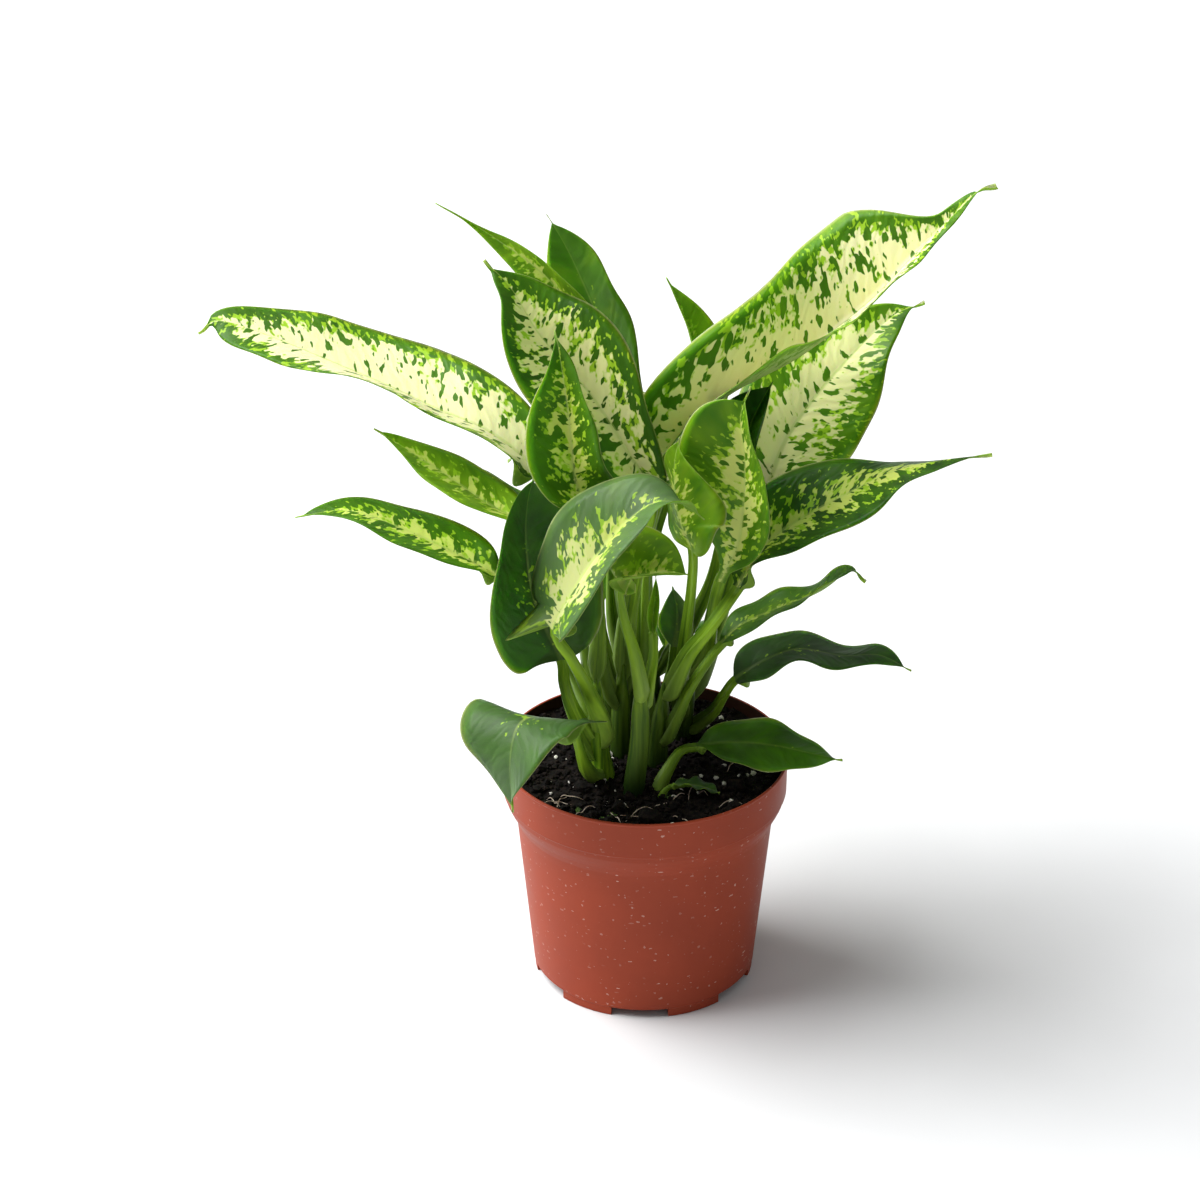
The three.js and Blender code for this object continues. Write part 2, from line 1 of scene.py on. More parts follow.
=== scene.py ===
"""Potted dieffenbachia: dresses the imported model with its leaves, canes, soil and nursery pot."""

import math
import random
from functools import partial

import bmesh
import bpy
from mathutils import Matrix, Vector, noise
from mathutils.geometry import interpolate_bezier


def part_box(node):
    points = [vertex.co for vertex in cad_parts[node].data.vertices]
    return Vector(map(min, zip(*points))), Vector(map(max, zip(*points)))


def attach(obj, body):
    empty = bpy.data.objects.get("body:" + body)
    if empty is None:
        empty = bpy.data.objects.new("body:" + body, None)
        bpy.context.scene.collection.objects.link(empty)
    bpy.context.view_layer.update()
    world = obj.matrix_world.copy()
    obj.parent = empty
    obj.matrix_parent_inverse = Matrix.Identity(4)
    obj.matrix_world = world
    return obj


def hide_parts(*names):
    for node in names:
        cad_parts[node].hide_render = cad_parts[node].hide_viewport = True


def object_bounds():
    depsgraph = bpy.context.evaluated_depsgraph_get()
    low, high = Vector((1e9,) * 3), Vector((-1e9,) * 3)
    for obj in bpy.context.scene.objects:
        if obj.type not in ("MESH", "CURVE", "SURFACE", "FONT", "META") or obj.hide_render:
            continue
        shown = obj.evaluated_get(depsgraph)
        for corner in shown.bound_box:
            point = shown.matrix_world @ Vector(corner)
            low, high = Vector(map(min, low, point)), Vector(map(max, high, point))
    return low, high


bl_info = {
    "name": "Potted Dieffenbachia",
    "version": (1, 0, 0),
    "blender": (4, 5, 0),
    "location": "View3D > Sidebar > Plant",
    "description": "Variegated leaves, canes, soil and a moulded nursery pot round a packed model",
    "category": "Object",
}

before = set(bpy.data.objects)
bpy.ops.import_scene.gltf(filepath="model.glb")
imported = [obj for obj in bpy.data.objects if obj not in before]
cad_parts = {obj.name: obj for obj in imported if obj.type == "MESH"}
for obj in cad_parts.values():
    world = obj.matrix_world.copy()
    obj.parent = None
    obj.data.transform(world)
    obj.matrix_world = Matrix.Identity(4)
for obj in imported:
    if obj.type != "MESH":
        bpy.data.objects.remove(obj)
CAD_BOX = [list(corner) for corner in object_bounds()]

# ---- Frame and sizes ----
# Lengths are in millimetres about the pot's axis, with z = 0 where the pot stands; place() turns
# them into metres in the row's frame.
MM = 0.001
POT_LOW, POT_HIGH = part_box("pot")
POT_AXIS = Vector(((POT_LOW.x + POT_HIGH.x) / 2, (POT_LOW.y + POT_HIGH.y) / 2, POT_LOW.z))
RIM_RADIUS = (POT_HIGH.x - POT_LOW.x) / 2 / MM
POT_HEIGHT = (POT_HIGH.z - POT_LOW.z) / MM

WALL = 1.2            # pot wall
BAND_STRAIGHT = 88.5  # height where the rim's upright band begins
BAND_FOOT = 76        # height of the neck under the band
NECK_RADIUS = 54.2
SHOULDER = [          # wall that swells in a soft double curve up to the crease under the band
    (53.4, 70.5), (54.0, 74.2), (55.2, 77.2), (57.0, 80.4), (58.3, 83.2), (58.75, 85.6), (59.3, 86.0),
]
LIP = 0.45            # how far the lip stands out from the band
FOOT_RADIUS = 46.8
FLOOR_UNDER, FLOOR_TOP = 5, 6.5
RING_WALL = 2
NOTCHES, NOTCH_HEIGHT, NOTCH_ANGLE, NOTCH_FACING = 6, 3.7, 30, -92
DRAIN_RADIUS, DRAIN_CIRCLE = 3.5, 28
LEDGE, LEDGE_HEIGHT = 0.5, 3.8     # the feet stand back from the wall by a small ledge
FOOT_LEVEL = 4.6                   # below it, the wall follows the notches

SOIL_FRONT, SOIL_BACK, SOIL_MOUND = 98, 97, 2
CLOD_HEIGHT, CLOD_RATE, CLOD_SINK = 1.1, 0.11, 0.4    # clods, their number in a millimetre, lowering
LUMP_LIFT = 0.35      # how far a loose lump stands out of the soil, as a share of its radius
# Each root: where it starts, which way it runs and its length. Each tuft: place, reach and strands.
ROOTS = [
    (-38, -44, 60, 14), (-34, -40, 150, 10), (-42, -38, 20, 13), (-29, -47, 70, 12), (-12, -46, 20, 16),
    (-14, -44, 300, 11), (-6, -42, 100, 9), (-8, -50, 40, 15), (4, -40, 10, 18), (18, -34, 60, 14),
    (26, -30, 120, 10), (-24, -34, 200, 12), (10, -48, 330, 12), (34, -12, 90, 12), (30, -38, 20, 12),
]
ROOT_RADIUS = 0.22
MOSS = [(-16, -50, 3.2, 70), (-13, -46, 1.8, 30), (-27, -41, 1.5, 24), (9, -30, 2.2, 36)]

BLADE = 0.45          # thickness of a blade between its veins
RIB, RIB_HALF = 1.3, 1.2           # how far the midrib stands out under a blade, and its half width
CREASE, CREASE_HALF = 0.25, 0.9    # depth and half width of the crease over the midrib
TIP = 0.12            # half width of the last point of a blade
BLADE_START = 0.08    # share of the midrib over which the stalk widens into the blade
LOBE_REACH = 0.32     # share of the midrib over which the lobes of a blade's base swing back
PINCH_START = 0.7     # share of the midrib from which a pinched blade is drawn in
PINCH_END = 0.86      # share from which it stays narrow
EAR_REACH = 0.1       # share of the midrib along which an ear is pulled out of the base
PATCH_AT, PATCH_REACH = 0.42, 0.12    # shares of the midrib where a patch lies and that it fills
FADE_START, FADE_END = 0.3, 0.75      # shares of the midrib between which the cream fades
SWELL = 1.6           # height of the slow swells of a blade
SWELL_ACROSS, SWELL_ALONG = 0.06, 0.05    # swells in a millimetre
STALK_FLARE = 2.1     # how much wider a stalk is at its sheathed foot
STALK_DEPTH = (1.45, 1.7)     # depth of a stalk at foot and blade, as a share of its half width
FOOT_ROUNDING = 0.12  # share of the stalk over which its foot rounds off
CHANNEL = (38, 14)    # degrees that the sides of a stalk's channel rise at its foot and at the blade
STALK_ROWS = 26
MIDRIB_CROWDING = 1.35    # how much closer the columns of a leaf lie to its midrib
SEED_STEP = 1.37      # how far apart the patterns of two leaves lie in the noise
LARGE = dict(stalk_radius=2.2, across=16, rows=84)
LEAF_DEFAULTS = dict(
    belly=0.42, taper=1, tail=0.04, pinch=0, lobe=(0, 0), ear=(0, 0, 0), curl=0, wave=0, waves=3,
    bloom=0, patch=0, fade=0, tone=0.85, stalk_radius=1.75, across=12, rows=60,
)
LEAF_MAP = "LeafMillimetres"   # across and along the blade, in tenths of a metre
SHARE_MAP = "LeafShares"       # across and along the blade, as shares of its width and length

BLOTCH_MM = 9         # spacing of the patches along the edge of the cream
FLECK_MM = 2.8        # spacing of the notches in that edge
MARK_MM = 3.3         # spacing of the deep green marks in the cream
SPECK_MM = 2.6        # spacing of the yellow-green specks in the green
CLOUDS = 9            # clouds of the green in a tenth of a metre
CELL_MM = 0.625       # grain of the cells, drawn coarser than they are so that it shows
VEIN_MM = 6.5         # spacing of the side veins
VEIN_LEAN, VEIN_BEND = 0.85, 1.6      # how far a vein climbs to the tip, and how that grows
PATCH_LEAN = 0.5      # how far a patch climbs to the tip

# ---- Leaves ----
#   heading  plan direction that the leaf leans in     width    full width of the blade
#   belly    where along the midrib it is widest       taper    how fast it narrows to the tip
#   tail     share of the midrib that is a drip tip    pinch    share by which its end is drawn in
#   stalk    points up the stalk                       rib      points along the midrib
#   roll     turn about the midrib at base, middle and tip; positive lifts the right side
#   fold     how far both halves rise from flat at base, middle and tip
#   cream    share of the half width that is cream     shade    0 for young green, 1 for deep green
#    bloom  how much grey-green painted sheen covers it   lobe     how far its halves reach back
#   ear      how far the corner of its left half's base is pulled out
#   patch    how much farther the cream reaches in a spot near the middle of the blade
#   fade     how much less far it reaches towards the tip
#    tone  how much painted shade darkens its stalk at the soil
#   curl     share of the half width by which its edges curl down
#   wave     height of the waves of its margin         waves    how many of them
#   across, rows    columns from edge to edge of one face, and rows along the blade
LEAVES = {
    "top_right": dict(
        LARGE, heading=20, width=70, belly=0.58, taper=0.38, tail=0.05, pinch=0.84, cream=0.74, shade=0.55,
        stalk=[(1, -4, 104), (-1, 3, 124), (-2, 8, 150), (-1, 12, 190)],
        rib=[(7, 16, 220), (17, 20, 243), (35, 26, 256), (62, 37, 267), (89, 46, 286), (109, 51, 307),
             (124, 48, 326), (132, 45, 336), (139, 42, 339)],
        roll=(-33, -19, 0), fold=(69, 53, 10), lobe=(0.1, 0.03), wave=2),
    "right_upper": dict(
        LARGE, heading=60, width=54, belly=0.34, taper=1.05, cream=0.62, shade=0.5,
        stalk=[(16, 21, 112), (25, 27, 132), (34, 30, 165), (42, 30, 195)],
        rib=[(50, 30, 212), (58, 38, 230), (74, 48, 250), (99, 62, 272), (114, 68, 277)],
        roll=(-35, -15, 10), fold=(12, 6, 15), wave=1.5),
    "right_middle": dict(
        LARGE, heading=0, width=46, belly=0.43, taper=1.05, cream=0.3, shade=0.85,
        stalk=[(8, -5, 130), (12, -11, 144), (17, -16, 158), (26, -20, 173)],
        rib=[(37, -8, 184), (48, 0, 199), (66, 3, 212), (97, 4, 230), (117, 0, 238), (138, -6, 244)],
        roll=(-45, -10, 35), fold=(60, 0, -20), wave=1),
    "far_left": dict(
        LARGE, heading=180, width=51, belly=0.44, taper=0.6, cream=0.82, shade=0.62, bloom=0.1,
        stalk=[(-10, 4, 104), (-17, 12, 128), (-21, 13, 151), (-28, 13, 192), (-37, 11, 220)],
        rib=[(-43, 8, 228), (-64, 14, 243), (-87, 22, 250), (-110, 30, 258), (-169, 46, 276),
             (-183, 44, 272)],
        roll=(35, 5, 40), fold=(28, 24, -12), wave=1),
    "crown": dict(
        LARGE, heading=90, width=52, belly=0.54, cream=0.55, shade=0.72,
        stalk=[(-9, 3, 134), (-8, 2, 160), (-3, 0, 193)],
        rib=[(2, 2, 219), (-8, 4, 240), (-23, 8, 263), (-43, 14, 286), (-54, 20, 303), (-65, 24, 314)],
        roll=(25, -15, -50), fold=(30, 28, 0), lobe=(0.1, 0.1), wave=1),
    "crown_back": dict(
        heading=90, width=38, belly=0.53, taper=0.8, cream=-0.45, shade=0.5, bloom=0.1, patch=0.35,
        stalk=[(3, 27, 130), (0, 28, 152), (0, 31, 185)],
        rib=[(0, 32, 212), (-8, 40, 244), (-18, 46, 273), (-31, 52, 303), (-41, 54, 321)],
        roll=(40, 30, 10), fold=(28, 20, 10), wave=1),
    "crown_rolled": dict(
        heading=110, width=30, belly=0.35, taper=1.6, cream=0.3, shade=0.25,
        stalk=[(-10, 5, 120), (-7, 12, 136), (-5, 14, 155), (-4, 17, 190)],
        rib=[(-5, 20, 220), (-20, 28, 268), (-37, 34, 298), (-65, 40, 319), (-85, 38, 332)],
        roll=(10, 40, 45), fold=(20, 35, 20)),
    "centre_left": dict(
        heading=95, width=40, belly=0.4, taper=1.2, curl=-0.1, cream=0.3, shade=0.6,
        stalk=[(-20, -17, 144), (-19, -18, 164), (-19, -18, 192)],
        rib=[(-21, -20, 220), (-28, -18, 236), (-30, -15, 254), (-32, -13, 272), (-36, -11, 299)],
        roll=(-45, 20, -10), fold=(35, 38, 25), wave=1),
    "left_upper": dict(
        heading=170, width=28, belly=0.4, cream=0.3, shade=0.28, tone=0.3,
        stalk=[(-20, -15, 138), (-24, -5, 158), (-31, -4, 184), (-41, -12, 206)],
        rib=[(-48, -14, 215), (-63, -8, 221), (-80, 0, 230), (-94, 6, 237), (-110, 10, 246)],
        roll=(12, 8, 10), fold=(30, 8, 10)),
    "left_behind": dict(
        heading=170, width=20, cream=0.2, shade=0.6,
        stalk=[(-10, 4, 118), (-16, -2, 140), (-21, -8, 175), (-29, -8, 203)],
        rib=[(-38, -5, 216), (-52, 11, 213), (-69, 25, 219), (-84, 34, 220)],
        roll=(0, -20, -30), fold=(20, 13, 8)),
    "left_lower": dict(
        heading=180, width=32, belly=0.41, taper=0.9, cream=0.3, shade=0.65, tone=0.3,
        stalk=[(-19, -14, 120), (-27, -10, 141), (-39, -16, 170), (-50, -20, 190)],
        rib=[(-59, -20, 195), (-71, -16, 200), (-98, -8, 210), (-120, -4, 216), (-142, -4, 213)],
        roll=(18, 5, 0), fold=(37, 5, 25)),
    "left_broad": dict(
        LARGE, heading=120, width=55, taper=0.75, curl=-0.1, cream=-0.45, shade=0.82, bloom=0.3, patch=0.45,
        tone=0.1,
        stalk=[(-18, -15, 106), (-25, -19, 122), (-30, -25, 137), (-33, -29, 151)],
        rib=[(-34, -30, 162), (-41, -29, 178), (-46, -27, 194), (-48, -24, 214), (-47, -21, 230),
             (-44, -19, 240)],
        roll=(40, -3, -4), fold=(25, 22, 16), lobe=(0.04, 0.04)),
    "front": dict(
        LARGE, heading=40, width=49, belly=0.4, taper=0.92, cream=0.5, shade=0.5, bloom=0.9, fade=0.45,
        tone=0.15,
        stalk=[(-18, -15, 112), (-19, -24, 130), (-25, -42, 156), (-31, -50, 173)],
        rib=[(-37, -51, 187), (-27, -51, 208), (-14, -51, 228), (1, -51, 243), (14, -53, 245),
             (23, -55, 239)],
        roll=(25, 8, 22), fold=(-5, 25, -18), lobe=(0.12, 0.08), ear=(-15, -9, -9)),
    "front_small": dict(
        heading=0, width=46, belly=0.4, cream=0.3, shade=0.2, bloom=0.1, tone=0.5,
        stalk=[(-2, -28, 140), (-5, -29, 162), (-10, -30, 182)],
        rib=[(-11, -31, 198), (-2, -33, 202), (8, -35, 205), (17, -37, 205)],
        roll=(-27, -27, -20), fold=(55, 55, 30)),
    "centre": dict(
        heading=60, width=42, belly=0.39, curl=0.2, cream=0.05, shade=0.35,
        stalk=[(16, 19, 104), (14, 11, 120), (15, 2, 146), (18, -9, 183)],
        rib=[(18, -20, 207), (13, -22, 221), (11, -21, 234), (11, -18, 246), (13, -15, 255)],
        roll=(20, 26, 27), fold=(29, -20, 40)),
    "centre_right": dict(
        LARGE, heading=90, width=52, belly=0.7, taper=0.6, tail=0.08, curl=-0.15, cream=0.35, shade=0.45,
        stalk=[(18, 13, 130), (24, 8, 142), (26, 0, 156), (27, -7, 170)],
        rib=[(30, -11, 188), (37, -14, 207), (39, -14, 226), (39, -12, 245), (37, -10, 261), (41, -8, 274)],
        roll=(2, 33, 42), fold=(18, 27, 34)),
    "shade_right": dict(
        heading=90, width=33, belly=0.49, cream=-0.6, shade=0.95,
        stalk=[(5, 25, 124), (16, 27, 142), (26, 21, 168), (30, 13, 192)],
        rib=[(33, 8, 216), (38, 9, 236), (43, 10, 252), (50, 11, 267)],
        roll=(14, 40, 38), fold=(19, 38, 20)),
    "top_small": dict(
        heading=90, width=26, belly=0.41, taper=1.2, cream=0, shade=0.2,
        stalk=[(-5, 40, 108), (-4, 35, 128), (-1, 34, 160), (8, 35, 200)],
        rib=[(24, 34, 238), (21, 38, 259), (16, 42, 279), (8, 44, 298)],
        roll=(-10, -47, -49), fold=(17, 42, 22)),
    "right_twisted": dict(
        heading=10, width=24, belly=0.39, tail=0.02, cream=0, shade=0.5, bloom=0.2,
        stalk=[(6, -5, 108), (12, -10, 124), (17, -12, 138), (24, -9, 149)],
        rib=[(31, -4, 156), (41, -2, 165), (70, 4, 176), (83, 6, 185), (90, 2, 182)],
        roll=(-10, 11, 26), fold=(0, 10, 8), wave=1),
    "right_low": dict(
        heading=0, width=31, belly=0.39, taper=0.9, cream=-0.5, shade=0.95, bloom=0.25, patch=0.25,
        tone=0.5,
        stalk=[(16, 20, 100), (22, 18, 106), (28, 12, 115), (32, 4, 127)],
        rib=[(37, -2, 138), (49, -2, 147), (63, -1, 152), (81, -1, 149), (96, -4, 151), (109, -10, 147)],
        roll=(-30, 5, -25), fold=(18, 0, 0), wave=1),
    "rim_right": dict(
        heading=-10, width=31, belly=0.44, cream=-0.7, shade=0.68, tone=0.4,
        stalk=[(3, -25, 95), (7, -21, 103), (12, -15, 109), (16, -12, 111)],
        rib=[(21, -12, 112), (37, -14, 115), (53, -18, 116), (67, -22, 115), (81, -28, 115)],
        roll=(0, -13, 0), fold=(22, -4, -12), wave=0.8),
    "rim_left": dict(
        heading=-130, width=54, cream=-0.66, shade=0.85, bloom=0.55, patch=0.52, tone=0.3,
        stalk=[(-17, -15, 101), (-22, -22, 105), (-25, -31, 116), (-27, -37, 127)],
        rib=[(-30, -40, 136), (-43, -50, 147), (-51, -58, 147), (-54, -66, 135), (-53, -70, 114)],
        roll=(-50, -4, -50), fold=(-10, 6, 20), lobe=(0.16, 0.16)),
    "low_small": dict(
        heading=-10, width=13, belly=0.45, tail=0.02, stalk_radius=1, cream=-0.6, shade=1.05, bloom=0.25,
        tone=0.3,
        stalk=[(6, -30, 96), (7, -30, 100), (9, -29, 102)],
        rib=[(11, -29, 103), (18, -30, 104), (25, -31, 103.5), (31, -33, 102)],
        roll=(14, 8, 0), fold=(14, 8, 0), wave=0.8),
    "inner_small": dict(
        heading=90, width=17, belly=0.46, cream=-0.3, shade=0.3, bloom=1,
        stalk=[(4, 26, 102), (8, 23, 113), (11, 20, 130)],
        rib=[(12, 18, 142), (13, 20, 150), (13, 21, 158), (11, 22, 168)],
        roll=(-6, 9, 2), fold=(11, 25, 20)),
    "back_middle": dict(
        heading=90, width=40, cream=0.55, shade=0.6,
        stalk=[(-5, 41, 134), (-3, 42, 160), (2, 43, 190)],
        rib=[(4, 46, 210), (4, 74, 228), (2, 105, 214), (0, 130, 185)],
        roll=(0, 0, 0), fold=(25, 15, 10), wave=1),
    "back_right": dict(
        heading=55, width=38, cream=0.4, shade=0.55,
        stalk=[(-4, 43, 122), (-4, 50, 142), (-1, 52, 166)],
        rib=[(5, 51, 190), (30, 70, 208), (50, 92, 200), (62, 108, 180)],
        roll=(0, 5, 0), fold=(25, 15, 10), wave=1),
    "back_left": dict(
        heading=120, width=38, cream=0.5, shade=0.7,
        stalk=[(-6, 41, 114), (-13, 44, 140), (-14, 44, 172)],
        rib=[(-14, 46, 192), (-30, 68, 208), (-46, 90, 202), (-60, 108, 184)],
        roll=(0, -5, 0), fold=(25, 15, 10), wave=1),
    "back_low_right": dict(
        heading=70, width=30, cream=0.2, shade=0.6,
        stalk=[(-5, 41, 102), (1, 47, 110), (5, 51, 117)],
        rib=[(9, 54, 122), (16, 64, 126), (24, 76, 122), (29, 85, 110)],
        roll=(0, 10, 0), fold=(20, 15, 10)),
    "back_low_left": dict(
        heading=110, width=34, cream=0.1, shade=0.65,
        stalk=[(-6, 41, 102), (-14, 47, 116), (-18, 51, 130)],
        rib=[(-20, 54, 142), (-30, 74, 154), (-38, 96, 146), (-44, 110, 128)],
        roll=(0, -10, 0), fold=(20, 15, 10)),
    "spear": dict(
        heading=80, width=9, belly=0.4, taper=1.2, cream=-0.5, shade=0.3, tone=0.5,
        stalk=[(-2, -27, 136), (1, -24, 148), (3, -21, 158)],
        rib=[(3, -20, 168), (3, -20, 178), (4, -20, 188), (4, -20, 198)],
        roll=(0, 0, 0), fold=(60, 62, 60)),
}

# Each cane: points up its middle, and how much painted shade darkens its foot.
CANES = {
    "left": ([(-16, -14, 93), (-19, -15, 117), (-20, -16, 150)], 0.15),
    "front": ([(-5, -27, 93), (-2, -27, 124), (-2, -28, 158)], 1.0),
    "middle": ([(5, -4, 93), (6, -4, 112), (8, -5, 138)], 0.95),
    "right": ([(15, 20, 93), (17, 17, 118), (18, 12, 138)], 0.95),
    "inner": ([(-10, 4, 93), (-10, 4, 118), (-9, 3, 142)], 0.95),
    "rear": ([(2, 27, 93), (3, 27, 112), (4, 26, 134)], 0.95),
    "back": ([(-6, 41, 93), (-6, 41, 112), (-5, 41, 138)], 0.9),
}
CANE_BASE, CANE_TOP, CANE_BOTTOM = 4.7, 3.2, 72
CANE_POINT, POINT_START, POINT_END = 0.72, 0.72, 1.02    # how far, and over which share, a cane draws in
SHEATH_STEP = 0.6     # how far the edge of the outer sheath stands out
SHEATH_TURN = 0.2     # where round the cane that edge is


# ---- Small helpers ----
def place(x, y, z):
    """The point of the row's frame for millimetres about the pot's axis."""
    return POT_AXIS + Vector((x, y, z)) * MM


def inside_box(point):
    """The point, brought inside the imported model's box where a fine wave would leave it."""
    return Vector(min(max(value, low), high) for value, low, high in zip(point, *CAD_BOX))


def hex_colour(code, alpha=1.0):
    """Linear colour of an sRGB hex code such as b5563e."""
    def linear(channel):
        return channel / 12.92 if channel <= 0.04045 else ((channel + 0.055) / 1.055) ** 2.4
    return tuple(linear(int(code[i:i + 2], 16) / 255) for i in (0, 2, 4)) + (alpha,)


def lerp(a, b, share):
    return a + (b - a) * share


def smoothstep(low, high, value):
    share = min(max((value - low) / (high - low), 0), 1)
    return share * share * (3 - 2 * share)


def along(values, u):
    """Value at u of the parabola through base, middle and tip."""
    base, middle, tip = values
    return base * (1 - u) * (1 - 2 * u) + 4 * middle * u * (1 - u) + tip * u * (2 * u - 1)


class Spine:
    """Smooth curve through anchor points, read by its length."""

    STEPS = 40

    def __init__(self, anchors):
        points = [Vector(anchor) for anchor in anchors]
        chain = [2 * points[0] - points[1], *points, 2 * points[-1] - points[-2]]
        self.samples = [points[0]]
        for before, start, end, after in zip(chain, chain[1:], chain[2:], chain[3:]):
            handle_a = start + (end - before) / 6
            handle_b = end - (after - start) / 6
            self.samples += interpolate_bezier(start, handle_a, handle_b, end, self.STEPS + 1)[1:]
        self.reach = [0.0]
        for a, b in zip(self.samples, self.samples[1:]):
            self.reach.append(self.reach[-1] + (b - a).length)
        self.length = self.reach[-1]

    def at_anchor(self, index):
        """Length along the curve at one of its anchors."""
        return self.reach[index * self.STEPS]

    def read(self, distance):
        """Centre and direction at a distance along the curve."""
        low, high = 0, len(self.reach) - 2
        while low < high:
            middle = (low + high + 1) // 2
            low, high = (middle, high) if self.reach[middle] <= distance else (low, middle - 1)
        span = self.reach[low + 1] - self.reach[low]
        share = min(max((distance - self.reach[low]) / span, 0), 1)
        last = len(self.samples) - 1

        def direction(i):
            return self.samples[min(i + 1, last)] - self.samples[max(i - 1, 0)]
        heading = direction(low).normalized().lerp(direction(low + 1).normalized(), share)
        return self.samples[low].lerp(self.samples[low + 1], share), heading.normalized()


def wrapped_skin(bm, columns, rows, point_at):
    """Closed skin: a grid whose long sides meet and whose ends close, each vertex put at point_at."""
    made = bmesh.ops.create_grid(bm, x_segments=columns, y_segments=rows, size=0.5)["verts"]
    for vert in made:
        column = round((vert.co.x + 0.5) * columns)
        row = round((vert.co.y + 0.5) * rows)
        vert.co = point_at(column % columns, row)
    bmesh.ops.remove_doubles(bm, verts=made, dist=1e-7)


def finish_piece(name, bm, materials, replaced=(), smooth=True):
    """Turns a bmesh into a piece of the part that rides on its body and stands for CAD nodes."""
    bmesh.ops.recalc_face_normals(bm, faces=bm.faces)
    mesh = bpy.data.meshes.new(name)
    bm.to_mesh(mesh)
    bm.free()
    for polygon in mesh.polygons:
        polygon.use_smooth = smooth
    for material in materials:
        mesh.materials.append(material)
    piece = bpy.data.objects.new(name, mesh)
    bpy.context.scene.collection.objects.link(piece)
    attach(piece, "root")
    if replaced:
        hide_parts(*replaced)
    return piece


# ---- Materials ----
def add_node(tree, kind, inputs=None, **settings):
    """Adds a node, sets its settings and its inputs, and links the inputs that are nodes. The
    inputs are named, or listed in the order of the sockets. A node stands for its first output."""
    node = tree.nodes.new("ShaderNode" + kind)
    for name, value in settings.items():
        setattr(node, name, value)
    sockets = inputs if isinstance(inputs, dict) else dict(enumerate(inputs or []))
    for socket, value in sockets.items():
        if isinstance(value, bpy.types.Node):
            value = next(output for output in value.outputs if output.enabled)
        if isinstance(value, bpy.types.NodeSocket):
            tree.links.new(value, node.inputs[socket])
        else:
            node.inputs[socket].default_value = value
    return node


def new_material(name):
    """Empty node material, and add_node for its tree."""
    material = bpy.data.materials.new(name)
    material.use_nodes = True
    material.node_tree.nodes.clear()
    return material, partial(add_node, material.node_tree)


def ramp(node, stops):
    """Gives a colour ramp its stops, each a place and a colour."""
    elements = node.color_ramp.elements
    while len(elements) < len(stops):
        elements.new(0.5)
    for element, (position, colour) in zip(elements, stops):
        element.position = position
        element.color = colour
    return node


